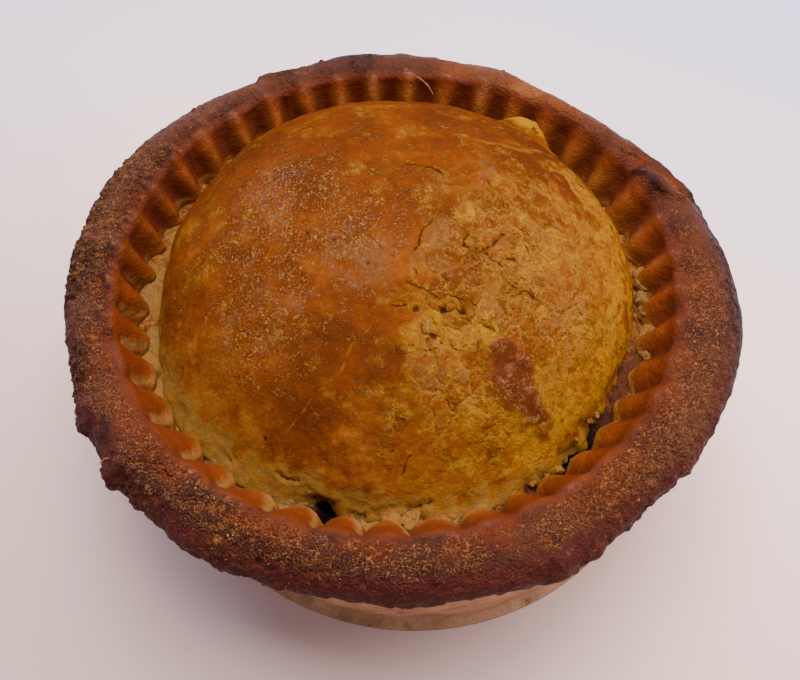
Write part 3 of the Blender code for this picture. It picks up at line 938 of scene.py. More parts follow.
def rough_rim(sizes):
    """The rim's points with their relief, the normals and the colour masks."""
    points, angle, down, wave, place, number = rim_surface(sizes)
    normal = -grid_normals(points)
    outer, top, slope = rim_zones(down)
    skin = outer + top
    push, fold, clod, groove, tone, coarse = rim_relief(points, angle, down)
    points = points + normal * (push * sizes.crust_relief)[..., None]
    lobe, place = 0.5 + 0.5 * wave[:, None], place[:, None]
    odd = draws(number, 6)[:, None]
    fall = np.clip((down - 9.0) / 4.0, 0, 1)
    # Painted shade: the rim's lower outer face is darkened at the back and sides, where it curves away out of
    # view.
    edge_shade = band(angle, SHADED_EDGES) * (1 - smooth(5.0, 5.9, down))
    glazed = band(angle, GLAZED_CRIMPS)
    warm = band(angle, WARM_CREST) * smooth(6.2, 7.5, down)
    early = 1.3 * band(angle, EARLY_HOLLOWS)
    dip = smooth(7.4 - early, 9.0 - 0.4 * early, down)
    # The hollows between crimps are laid darker and the crimps' backs lighter: partly deeper bake, partly
    # painted shade in the hollows.
    hollow = (1 - lobe) ** 1.1 * dip * (1 - 0.3 * glazed) + 0.25 * dip * (odd - 0.5)
    # Painted shade and light from the relief: the crust is darker where it sinks, in pores, crevices and the
    # grooves between clods, and lighter on raised clods and ridges.
    bake = 0.70 + 0.12 * outer + 0.13 * fractal(points, 5, 4, 29) - 0.3 * (push - 0.8 * fold) * skin
    bake = bake + 0.4 * groove * coarse * skin + 0.4 * edge_shade * outer - 0.35 * clod
    bake = bake - bumps(angle, LIGHT_CREST)[:, None] * (top + 0.4 * outer)
    bake = bake - slope * (0.20 + 0.22 * fall) * (0.35 + 0.65 * lobe) - 0.25 * fold
    # Painted sheen: where the crest and outer face reflect the bright room, laid as a pinkish colour.
    sheen_reach = top + 0.6 * outer * (1 - edge_shade) + 0.10 * dip * lobe * (1 - fall) ** 2
    sheen_share = band(angle, SHEENED_CREST) * sheen_reach
    sheen_share = sheen_share * (1 - 0.6 * hollow) * (1 - 0.6 * smooth(7.2, 8.2, down))
    glinting_sand = band(angle, SANDY_GLINTING_CREST) * smooth(5.9, 6.6, down) * (1 - smooth(7.5, 8.7, down))
    ripe = fall + bumps(angle, RIPE_CRIMPS)[:, None] + 0.15 * (odd - 0.5)
    masks = {
        "bake": bake,
        "hollow": np.clip(hollow, 0, 1),
        "slope": slope + 0 * push,
        "pale": bare_dough(points, angle, place, fall) * slope,
        "tips": creamy_tips(points, angle, down, lobe, fall, odd),
        "sand_and_glints": glinting_sand * (0.4 + 0.6 * smooth(-0.7, 0.1, fractal(points, 3.5, 3, 32))),
        "painted_sheen": np.clip(sheen_share * (0.7 + 0.7 * noise(points, 6, 33)), 0, 1),
        "gloss": glazed * smooth(8.0, 9.4, down) * lobe,
        "glaze": glazed * smooth(8.0, 9.4, down) * (0.25 + 0.75 * lobe),
        "fall": ripe + 0.12 * noise(points, 2.4, 41),
        "warm": 0.9 * warm * (1 - slope) * smooth(-0.6, 0.4, noise(points, 3, 40)),
        "plum": band(angle, PLUM_FACE) * outer * (1 - smooth(6.0, 6.8, down)),
        "clod": coarse * skin * smooth(0.45, 0.9, tone) * (1 - groove),
        "rough": coarse * skin * (1 - smooth(7.6, 8.6, down)),
    }
    return points, normal, masks


class PIE_OT_rim(bpy.types.Operator):
    """Builds the rolled rim with its crimps"""

    bl_idname = "pie.rim"
    bl_label = "Rim"

    def execute(self, context):
        points, _, masks = rough_rim(context.scene.pie_sizes)
        faces = tube_faces(points.shape[0], points.shape[1], True)
        rim = make_piece("rim", points.reshape(-1, 3), (faces,), masks, rim_material())
        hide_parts(NODE)
        return {"FINISHED"}


def icosahedron():
    """The twelve corners of a unit icosahedron, and its triangles: the corners a side apart, wound
    outward.
    """
    golden = (1 + 5**0.5) / 2
    ball = np.array([(x, y * golden, 0) for x in (-1, 1) for y in (-1, 1)], float)
    ball = np.concatenate([ball, np.roll(ball, 1, 1), np.roll(ball, 2, 1)])
    ball /= np.linalg.norm(ball[0])
    pairs = np.linalg.norm(ball[:, None] - ball[None], axis=-1) < 1.1
    threes = itertools.combinations(range(12), 3)
    sides = [(a, b, c) for a, b, c in threes if pairs[a, b] and pairs[b, c] and pairs[a, c]]
    return ball, np.array([side if np.linalg.det(ball[list(side)]) > 0 else side[::-1] for side in sides])


def pebbles(places, sizes, seed):
    """Joined icosahedra at the places: each is stretched on its own axes by random amounts and turned by a
    random rotation from three angles. Returns points and triangles.
    """
    ball, sides = icosahedron()
    index = np.arange(len(places))
    draw = [draws(index, seed, k) for k in range(6)]
    stretch = np.stack([0.7 + 0.7 * draw[0], 0.55 + 0.5 * draw[1], 0.35 + 0.4 * draw[2]], -1) * sizes[:, None]
    shaped = ball[None] * stretch[:, None]
    for axis in range(3):
        turn = draw[3 + axis] * 2 * math.pi
        a, b = np.cos(turn)[:, None], np.sin(turn)[:, None]
        u, v = (axis + 1) % 3, (axis + 2) % 3
        first = a * shaped[..., u] - b * shaped[..., v]
        shaped[..., v] = b * shaped[..., u] + a * shaped[..., v]
        shaped[..., u] = first
    points = (shaped + places[:, None]).reshape(-1, 3)
    return points, (sides[None] + 12 * index[:, None, None]).reshape(-1, 3)


class PIE_OT_grains(bpy.types.Operator):
    """Scatters small dry grains of crust over the rim"""

    bl_idname = "pie.grains"
    bl_label = "Crust grains"

    def execute(self, context):
        points, normal, masks = rough_rim(context.scene.pie_sizes)
        share = np.clip(0.55 * masks["sand_and_glints"] + 0.7 * masks["rough"], 0, 1).ravel()
        index = np.arange(share.size)
        keep = draws(index, 71) < share * GRAIN_COUNT / share.sum()
        chosen = index[keep]
        size = 0.06 + 0.15 * draws(chosen, 72) ** 3
        places = points.reshape(-1, 3)[chosen] + normal.reshape(-1, 3)[chosen] * (size * 0.2)[:, None]
        flat, faces = pebbles(places, size, 73)
        tone = np.repeat(draws(chosen, 74), 12)
        make_piece("rim_grains", flat, (faces,), {"tone": tone}, grain_material())
        return {"FINISHED"}


def grain_material():
    """Dry grains from dark brown to sandy, one tone each."""
    c = bpy.context.scene.pie_colours
    t = Tree("rim_grains")
    tone = t.sum(t.mask("tone"), (t.noise(900, 2), 0.5))
    base = t.ramp(tone, ((0.05, c.umber), (0.45, c.russet), (0.92, c.pink_tone_and_sheen), (1.0, c.sand_and_glints)))
    t.set(Base_Color=base, Roughness=0.45, Specular_IOR_Level=0.25)
    t.bump(t.noise(3500, 3), 0.0001)
    return t.material


def rim_material():
    """Dark baked crust: plum outside, brown on top with a painted pinkish sheen, pale clods and sandy grains
    with painted glints, orange and glazed on the crimps, maroon partly painted as shade in their hollows,
    bare dough at their feet.
    """
    c = bpy.context.scene.pie_colours
    t = Tree("rim_crust")
    fine, mid, broad = t.noise(3000, 3, 0.6), t.noise(1100, 3, 0.6), t.noise(300, 4)
    fibre = t.math("ABSOLUTE", t.sum(t.noise(2000, 1.5, 0.5), (mid, 0.15)))
    speckle = t.times(t.sum((fine, 1.0), (mid, 1.0)), t.sum((t.mask("rough"), 0.9), 0.6))
    bake = t.sum(t.mask("bake"), (broad, 0.5), speckle)
    base = t.ramp(bake, ((0.04, c.golden), (0.32, c.amber), (0.58, c.russet), (0.88, c.umber), (1.0, c.darkest_and_shade)))
    base = t.lay(base, c.plum, "plum", ((mid, 1.2),), 0.1, 0.9, 0.8)
    base = t.lay(base, c.copper, "warm", ((mid, 1.4), (fine, 0.8)), 0.1, 0.9, 0.85)
    ripe = t.sum(t.mask("fall"), (mid, 0.9), (fine, 0.5))
    ripe = t.ramp(ripe, ((0.0, c.copper), (0.24, c.glaze), (0.70, c.tan), (1.0, c.golden)))
    ripe = t.blend(t.spread(t.sum(mid, (broad, 0.6)), 0.03, 0.20, 0.0, 0.7), ripe, c.copper)
    base = t.lay(base, ripe, "glaze", ((mid, 0.8), (fine, 0.4)), 0.1, 0.85, 0.95)
    # Painted sheen: the pinkish reflection laid over the crest, broken by russet blotches.
    base = t.lay(base, c.pink_tone_and_sheen, "painted_sheen", ((mid, 1.8), (fine, 1.2)), 0.2, 1.0, 0.85)
    blotch = t.times(t.mask("painted_sheen"), t.spread(t.noise(750, 3, 0.6), 0.02, 0.14))
    base = t.blend(t.times(blotch, 0.7), base, c.russet)
    # The hollows take maroon: partly their deep red bake, partly painted shade.
    base = t.lay(base, c.maroon_and_shade, "hollow", ((mid, 0.7),), 0.15, 0.85, 0.85)
    # Painted highlights: thin bright strands of glint over the sandy crest, with darker umber between them.
    glinting_sand = t.sum(t.mask("sand_and_glints"), (t.mask("rough"), 0.6), (t.noise(420, 3), 1.2), (mid, 0.8))
    glinting_sand = t.spread(glinting_sand, 0.22, 0.80)
    base = t.blend(t.times(glinting_sand, t.spread(fibre, 0.05, 0.14, 0.0, 0.60)), base, c.umber)
    glint_strength = t.spread(t.sum(fine, mid), -0.10, 0.08, 0.15, 0.9)
    glint_strand = t.times(t.spread(fibre, 0.006, 0.034, 1.0, 0.0), glint_strength)
    base = t.blend(t.times(glinting_sand, glint_strand), base, c.sand_and_glints)
    clod = t.spread(t.sum(t.mask("clod"), (fine, 1.2), (mid, 1.0)), 0.3, 1.0, 0.0, 0.55)
    base = t.blend(clod, base, t.blend(t.spread(t.sum(fine, mid), -0.14, 0.08), c.pink_tone_and_sheen, c.sand_and_glints))
    base = t.lay(base, c.icing, "tips", ((mid, 1.2), (fine, 0.8)), 0.25, 1.0, 0.6)
    pale = t.spread(t.sum(t.mask("pale"), (mid, 0.9)), 0.15, 1.1, 0.0, 0.72)
    base = t.blend(pale, base, t.blend(t.spread(t.noise(600, 2), -0.25, 0.3), c.straw, c.cream))
    t.set(Base_Color=base, Specular_IOR_Level=0.10, Coat_Roughness=0.22)
    t.set(Roughness=t.spread(t.noise(1500, 3), -0.3, 0.2, 0.36, 0.60))
    t.set(Coat_Weight=t.times(t.mask("gloss"), t.spread(fine, -0.1, 0.15, 0.0, 0.45)))
    crisp = t.sum((t.mask("rough"), 0.6), (t.mask("sand_and_glints"), 0.2), (t.mask("slope"), -0.2), 0.4)
    relief = t.times(t.sum((t.noise(1700, 5, 0.7), 1.0), (t.grains(2600), -0.5)), crisp)
    t.bump(relief, 0.0007)
    return t.material


# ---------------------------------------------------------------- channel


def channel_surface():
    """The channel: a closed profile carried round, its top face running from inside the crimps to under
    the lid, sunk at the gaps.
    """
    angle = degrees_round(CHANNEL_STEPS)
    outer = crimp_foot(angle) + 1.6
    inner = np.minimum(lid_foot(angle) - 1.8, outer - 2.4)
    gap = bumps(angle, CHANNEL_GAPS)
    sunk = 0.42 * np.maximum(bumps(angle, SKIRT_SPREADS), 0)
    controls = [
        (outer, CHANNEL_FLOOR + 1.0 - 0.3 * gap),
        (outer * 0.7 + inner * 0.3, CHANNEL_FLOOR + 0.8 - gap - 0.3 * sunk),
        (outer * 0.35 + inner * 0.65, CHANNEL_FLOOR + 1.4 - gap - sunk),
        (inner, CHANNEL_FLOOR + 2.3 - 0.8 * gap - 1.3 * sunk),
        (inner - 0.5, 21.0),
        (outer + 0.5, 21.0),
    ]
    return carried(controls, angle, (10, 12, 10, 4, 3, 4), True), angle, gap


class PIE_OT_channel(bpy.types.Operator):
    """Builds the pale channel between the crimps and the lid"""

    bl_idname = "pie.channel"
    bl_label = "Channel"

    def execute(self, context):
        points, angle, gap = channel_surface()
        up = smooth(23, 25.5, points[..., 2])
        turn = np.radians(angle)[:, None] * FOOT_RADIUS
        reach = np.hypot(points[..., 0], points[..., 1])
        strands = np.stack([turn + 0 * up, points[..., 2] * 0.3, reach * 0.45], -1)
        push = 0.30 * fractal(points, 2.4, 4, 41) + 0.22 * fractal(strands, 0.9, 3, 45)
        push -= 0.45 * smooth(0.30, 0.1, cells(points, 2.3, 42)[0])
        points[..., 2] += push * up
        sunk = np.clip(gap[:, None] / 3 + 0 * up, 0, 1)
        baked = bumps(angle, CHANNEL_BAKED)[:, None] + 0 * up
        # Painted shade: the channel's floor is darker where it sinks, in its pits.
        masks = {"bake": 0.36 + baked + 0.16 * fractal(points, 4, 4, 44) - 0.35 * push, "gap": sunk}
        faces = tube_faces(points.shape[0], points.shape[1], True)
        flat = points.reshape(-1, 3)
        channel = make_piece("channel", flat, (faces,), masks, crumb_material())
        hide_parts(NODE)
        return {"FINISHED"}


def crumb_material():
    """Pale, barely baked dough: cream to straw, rough and pitted, with painted shadow in the channel's gaps.
    """
    c = bpy.context.scene.pie_colours
    t = Tree("pale_crumb")
    bake = t.sum(t.mask("bake"), (t.noise(1500, 4, 0.7), 1.4))
    base = t.ramp(bake, ((0.0, c.cream), (0.35, c.dough), (0.60, c.straw), (0.86, c.amber), (1.0, c.russet)))
    # Painted shadow: the channel's sunk gaps are filled with the darkest colour.
    base = t.blend(t.mask("gap"), base, c.darkest_and_shade)
    t.set(Base_Color=base, Roughness=0.7, Specular_IOR_Level=0.25)
    t.bump(t.noise(1600, 5, 0.7), 0.0006)
    return t.material


def halved(points, faces):
    """Each triangle cut into four at the middles of its sides, with the points put back on a unit ball."""
    sides = np.sort(faces[:, [[0, 1], [1, 2], [2, 0]]].reshape(-1, 2), axis=1)
    unique, place = np.unique(sides, axis=0, return_inverse=True)
    middle = points[unique].mean(1)
    points = np.concatenate([points, middle / np.linalg.norm(middle, axis=1, keepdims=True)])
    a, b, c = faces.T
    ab, bc, ca = (place.reshape(-1, 3) + len(points) - len(middle)).T
    return points, np.stack([a, ab, ca, ab, b, bc, ca, bc, c, ab, bc, ca], 1).reshape(-1, 3)


def lumps(table, seed):
    """Joined balls at the table's places: each is pushed in and out by noise and flattened by a fifth.
    Returns points and triangles.
    """
    ball, faces = icosahedron()
    for _ in range(LUMP_CUTS):
        ball, faces = halved(ball, faces)
    table = np.array(table)
    index = np.arange(len(table))
    shaped = ball[None] * table[:, None, 3:]
    wide = 0.75 + 0.7 * np.stack([draws(index, seed, k) for k in range(3)], -1)
    shaped = shaped * (wide * (1, 1, 0.8))[:, None]
    at = shaped + table[:, None, :3]
    shaped = shaped * (1 + 0.34 * fractal(at, 0.9, 4, seed))[..., None]
    points = (shaped + table[:, None, :3]).reshape(-1, 3)
    return points, (faces[None] + len(ball) * index[:, None, None]).reshape(-1, 3)


def thread(radius, line, sides=8):
    """A thin tube along a Catmull-Rom curve, its radius falling to a third at the ends, with a point at
    each end. Returns points, quads and end triangles.
    """
    path = through(np.array(line)[None], (6,) * (len(line) - 1))[0]
    ahead = np.gradient(path, axis=0)
    side = np.cross(ahead, (0, 0, 1))
    side /= np.linalg.norm(side, axis=1, keepdims=True)
    up = np.cross(side, ahead)
    up /= np.linalg.norm(up, axis=1, keepdims=True)
    turn = np.arange(sides)[:, None, None] * 2 * math.pi / sides
    share = np.linspace(-1, 1, len(path))[None, :, None]
    thick = radius * (1 - 0.65 * share**2) * (1 + 0.2 * np.sin(9 * share))
    points = path + thick * (np.cos(turn) * side + np.sin(turn) * up)
    row = np.arange(sides) * len(path)
    count = points.shape[0] * points.shape[1]
    flat = np.concatenate([points.reshape(-1, 3), path[:1], path[-1:]])
    quads = tube_faces(sides, len(path), False)[:, ::-1]
    ends = np.concatenate([fan_faces(row, count), fan_faces(row[::-1] + len(path) - 1, count + 1)])
    return flat, quads, ends


class PIE_OT_dough(bpy.types.Operator):
    """Adds the loose lumps and crumbs of pale dough, and the thin baked threads"""

    bl_idname = "pie.dough"
    bl_label = "Lumps, crumbs and threads"

    def execute(self, context):
        kinds = (("dough_lumps", DOUGH_LUMPS, 91, 0.46), ("dough_crumbs", DOUGH_CRUMBS, 92, 0.62))
        for name, table, seed, baked in kinds:
            points, faces = lumps(table, seed)
            masks = {"bake": baked + 0.22 * fractal(points, 1.2, 3, 93), "gap": 0 * points[:, 0]}
            make_piece(name, points, (faces,), masks, crumb_material())
        points, quads, ends, start = [], [], [], 0
        for radius, line in THREADS:
            part, sides, tips = thread(radius, line)
            points.append(part)
            quads.append(sides + start)
            ends.append(tips + start)
            start += len(part)
        points = np.concatenate(points)
        groups = (np.concatenate(quads), np.concatenate(ends))
        masks = {"bake": 0.45 + 0 * points[:, 0], "gap": 0 * points[:, 0]}
        make_piece("threads", points, groups, masks, crumb_material())
        return {"FINISHED"}


# ---------------------------------------------------------------- lid


def lid_grid():
    """A square grid bent into a disc: each side of the square keeps its own share of the circle. Returns
    distance from the middle, from 0 to 1, and angle in radians.
    """
    line = np.linspace(-1, 1, LID_POINTS)
    a, b = np.meshgrid(line, line, indexing="ij")
    tall = np.abs(a) < np.abs(b)
    radius = np.where(tall, b, a)
    safe = np.where(radius == 0, 1, radius)
    turn = np.where(tall, math.pi / 2 - math.pi / 4 * a / safe, math.pi / 4 * b / safe)
    turn = turn + np.where(radius < 0, math.pi, 0)
    out = np.abs(radius)
    return out * (0.80 + 0.20 * out * out), turn


def lid_surface():
    """The lid: an ellipse's quarter turned about the lid's own middle, spread out at its foot by (1 - rise
    / SKIRT_TOP)^2 of the skirt's spread, pulled in where it would pass through the crimps, with broad
    bell-shaped rises.
    """
    out, turn = lid_grid()
    rise = (1 - out) * math.pi / 2
    skirt = np.clip(1 - np.degrees(rise) / SKIRT_TOP, 0, 1) ** 2
    radius = LID_RADIUS * np.cos(rise) + bumps(np.degrees(turn) % 360, SKIRT_SPREADS) * skirt
    radius = radius + bumps(np.degrees(turn) % 360, SKIRT_NOTCH) * smooth(9, 3, np.degrees(rise))
    crumbly = np.stack([LID_RADIUS * np.cos(turn), LID_RADIUS * np.sin(turn), 8 * rise], -1)
    torn = fractal(crumbly, 2.2, 3, 80) * bumps(np.degrees(turn) % 360, RAGGED_SKIRT)
    radius = radius + torn * smooth(12, 4, np.degrees(rise))
    x = LID_CENTRE[0] + radius * np.cos(turn)
    y = LID_CENTRE[1] + radius * np.sin(turn)
    z = LID_SPRING + (LID_CROWN - LID_SPRING) * np.sin(rise)
    limit = crimp_foot(np.degrees(np.arctan2(y, x))) - 0.2
    reach = np.maximum(np.hypot(x, y), 1e-6)
    pull = np.where((reach > limit) & (skirt > 0), limit / reach, 1.0)
    x, y = x * pull, y * pull
    return np.stack([x, y, z + spots(x, y, LID_RISES)], -1), np.degrees(turn) % 360, np.degrees(rise)


def cracked(height, points, u, v):
    """Sinks the cracks, with lifted lips. Returns the height, how near a crack is, and the signed distance
    to the nearest one in its widths.
    """
    crack, side = np.zeros(u.shape), np.full(u.shape, 9.0)
    worn = smooth(-0.7, 0.2, noise(points, 1.3, 68))
    for width, depth, line in LID_CRACKS:
        offset = line_offset(u, v, line)
        away = np.abs(offset)
        side = np.where(away / width < np.abs(side), offset / width, side)
        cut = bell(away, 0.85 * width) * worn
        height = height + (0.12 * depth * bell(away - 3 * width, 1.6 * width) - 0.7 * depth * cut)
        crack = np.maximum(crack, bell(away, 3 * width) * worn * min(1.0, 0.2 + 1.6 * depth))
    return height, crack, np.clip(side, -6, 6)


def pitted(height, u, v):
    """Sinks flat-bottomed pits, of the form exp(-d^4). Returns the height and how near a pit is."""
    pit = np.zeros(u.shape)
    for across, back, spread, depth in LID_PITS:
        away = np.hypot(u - across, v - back) / spread
        height = height - 0.5 * depth * np.exp(-((away / 0.8) ** 4))
        pit = np.maximum(pit, np.clip(1.5 - 0.8 * away, 0, 1.5) * min(1.0, 0.4 + 0.6 * depth))
    return height, pit


def seamed(height, points, u, v):
    """Raises the worn yellow seams. Returns the height and how near a seam is."""
    seam = np.zeros(u.shape)
    worn = smooth(-0.6, 0.4, noise(points, 1.6, 69) + 0.6 * noise(points, 0.7, 70))
    for width, lift, line in LID_SEAMS:
        ridge = bell(line_distance(u, v, line), 0.7 * width) * (0.35 + 0.65 * worn)
        height = height + lift * ridge
        seam = np.maximum(seam, ridge)
    return height, seam


def flaked(height, points, u, v):
    """Lifts the flakes of dull skin, most near their edges. Returns the height and the dullness."""
    flake = np.zeros(u.shape)
    for lift, corners in PLATES:
        depth = patch_depth(u, v, corners)
        height = height + 0.7 * lift * smooth(-0.1, 0.35, depth) * (0.4 + 0.6 * smooth(1.8, 0.0, depth))
        flake = np.maximum(flake, 0.75 * smooth(-0.3, 0.9, depth) + 0.35 * noise(points, 1.2, 77))
    return height, np.maximum(flake, 0.9 * bell(line_distance(u, v, BLUSH_BAND), 1.1))


def lid_relief(points, x, y, angle, rise):
    """Heights along the normal and the colour masks of the lid: noises, cracks, pits, seams, flakes and a
    raised patch, each from the distance to its line or outline, which noise makes wander.
    """
    wander = np.stack([fractal(points, 1.6, 3, 61), fractal(points, 1.6, 3, 62)], -1) * 0.24
    wander += np.stack([noise(points, 4, 63), noise(points, 4, 64)], -1) * 0.2
    u, v = x + wander[..., 0], y + wander[..., 1]
    coarse = smooth(-0.5, 0.5, noise(points, 7, 65) + spots(x, y, UNEVEN_SKIN))
    height = 0.22 * fractal(points, 9, 3, 51) + 0.05 * fractal(points, 2.2, 3, 52)
    height += coarse * (0.12 * fractal(points, 2.6, 3, 53) + 0.06 * fractal(points, 1.1, 2, 54))
    height, crack, side = cracked(height, points, u, v)
    height, pit = pitted(height, u, v)
    height, seam = seamed(height, points, u, v)
    height, flake = flaked(height, points, u, v)
    red = patch_depth(x + 2.4 * wander[..., 0], y + 2.4 * wander[..., 1], RED_PATCH)
    height += 0.32 * smooth(-0.5, 0.7, red) + 0.12 * smooth(0, 1, red) * fractal(points, 1.3, 3, 78)
    doughy = band(angle, DOUGHY_SKIRT)
    strands = np.stack([np.radians(angle) * LID_RADIUS, rise * 0.25, 0 * rise], -1)
    torn = fractal(strands, 1.8, 4, 66)
    edge = smooth(6.0, -6.0, rise - 12.0 * (doughy + 0.1) + 3.5 * torn)
    fibres = fractal(strands * (1.0, 3.0, 1.0), 1.1, 3, 72)
    slits = smooth(0.24, 0.10, cells(strands * (0.6, 1.8, 1.0), 1.2, 73)[0])
    slits = slits * smooth(0.2, 0.6, noise(strands, 5, 74)) * smooth(14, 8, rise)
    height += edge * (0.05 * fibres - 0.28 * slits)
    tab = bumps(angle, LID_TAB) * np.exp(-(((rise - 14.5) / 5.6) ** 2))
    hole = np.hypot((angle - 50.8) / 1.5, (rise - 17.0) / 1.1)
    height += tab * (2.1 + 0.6 * noise(points, 1.8, 67)) - 0.8 * np.exp(-(hole**2))
    pit = np.maximum(pit, np.clip(1.6 - 0.8 * hole, 0, 1.5))
    tab = np.minimum(tab, 1)
    masks = lid_colours(points, x, y, angle, rise, tab, smooth(0, 0.4, red), flake, height * coarse)
    masks["seam"] = np.clip(seam * 0.62 + np.clip(spots(x, y, LID_PALE) + tab * 0.9, 0, 1), 0, 1)
    masks["red"] = smooth(-0.9, 1.2, red)
    masks["crumb"] = np.clip(edge, 0, 1)
    masks["crack"] = crack
    masks["side"] = side
    masks["pit"] = np.maximum(pit, 1.1 * edge * slits)
    masks["veined"] = np.clip(spots(x, y, VEINED_SKIN), 0, 1)
    masks["grainy_glints"] = np.clip(spots(x, y, GRAINY_GLINTING_SKIN), 0, 1)
    return height, masks


def lid_colours(points, x, y, angle, rise, tab, red, flake, proud):
    """How baked, golden, blushed and yolky the glaze is: tables of spots and bands, broken up by noise."""
    around = np.radians(angle) * LID_RADIUS
    isles = fractal(np.stack([around * 0.45, rise * 0.25 * 2.6, 0 * rise], -1), 2.2, 4, 75)
    isles = smooth(-0.10, 0.55, isles + 0.35 * noise(points, 1.1, 79)) * band(angle, ISLES)
    isles = isles * smooth(2, 9, rise) * smooth(62, 45, rise)
    blush = 0.75 * spots(x, y, LID_BLUSHED) * (0.75 + 0.8 * fractal(points, 2.2, 3, 56)) + 0.22 * isles
    # Painted light: the glaze is made paler towards the lid's front.
    bake = 0.58 - 0.16 * smooth(-4, -26, y) + spots(x, y, LID_BROWNED)
    bake += 0.15 * fractal(points, 6, 4, 57) + 0.07 * fractal(points, 1.6, 3, 58) + 0.10 * isles
    doughy = band(angle, DOUGHY_SKIRT)
    golden = spots(x, y, LID_GOLDEN) + 0.30 * smooth(30, 4, rise) + 0.25 * smooth(8, 2, rise)
    golden = golden - 0.5 * doughy * smooth(18, 8, rise) + 0.35 * fractal(points, 3, 4, 59) - 0.05
    rimmed = band(angle, GOLDEN_EDGE) * smooth(13, 3, rise)
    golden = golden - isles + 0.9 * rimmed
    golden += 0.25 * smooth(-0.2, 0.6, np.cos(np.radians(angle - GOLDEN_TOWARDS)))
    # Painted shade and light from the relief: the glaze is darker where the uneven skin sinks and lighter
    # where it stands proud.
    bake -= 0.12 * proud
    skirt = doughy + 0.1
    bake -= 0.16 * smooth(22 * skirt + 5, 6 * skirt, rise) * np.clip(skirt + 0.2, 0, 1)
    bake += 0.14 * doughy * smooth(18, 10, rise)
    yolk = band(angle, YOLKY_SIDE) * smooth(55, 12, rise) * (1 - 0.4 * isles)
    return {
        "bake": bake,
        "golden": np.clip(golden * (1 - 0.5 * red), 0, 1),
        "blush": np.clip(np.maximum(blush, flake), 0, 1),
        "yolk": yolk + 0.7 * np.maximum(rimmed, tab),
    }


class PIE_OT_lid(bpy.types.Operator):
    """Builds the domed, glazed lid"""

    bl_idname = "pie.lid"
    bl_label = "Lid"

    def execute(self, context):
        points, angle, rise = lid_surface()
        normal = grid_normals(points, around=False)
        height, masks = lid_relief(points, points[..., 0], points[..., 1], angle, rise)
        height = height * smooth(0, 3, rise)
        points = points + normal * (height * context.scene.pie_sizes.crust_relief)[..., None]
        count = angle.shape[0]
        index = np.arange(count * count).reshape(count, count)
        quads = np.stack([index[:-1, :-1], index[1:, :-1], index[1:, 1:], index[:-1, 1:]], -1).reshape(-1, 4)
        ring = np.concatenate([index[:-1, 0], index[-1, :-1], index[:0:-1, -1], index[0, :0:-1]])
        flat = np.concatenate([points.reshape(-1, 3), [[*LID_CENTRE, LID_SPRING - 2]]])
        masks = {k: np.append(v.ravel(), 0.0) for k, v in masks.items()}
        groups = (quads, fan_faces(ring[::-1], len(flat) - 1))
        lid = make_piece("lid", flat, groups, masks, lid_material())
        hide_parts(NODE)
        return {"FINISHED"}


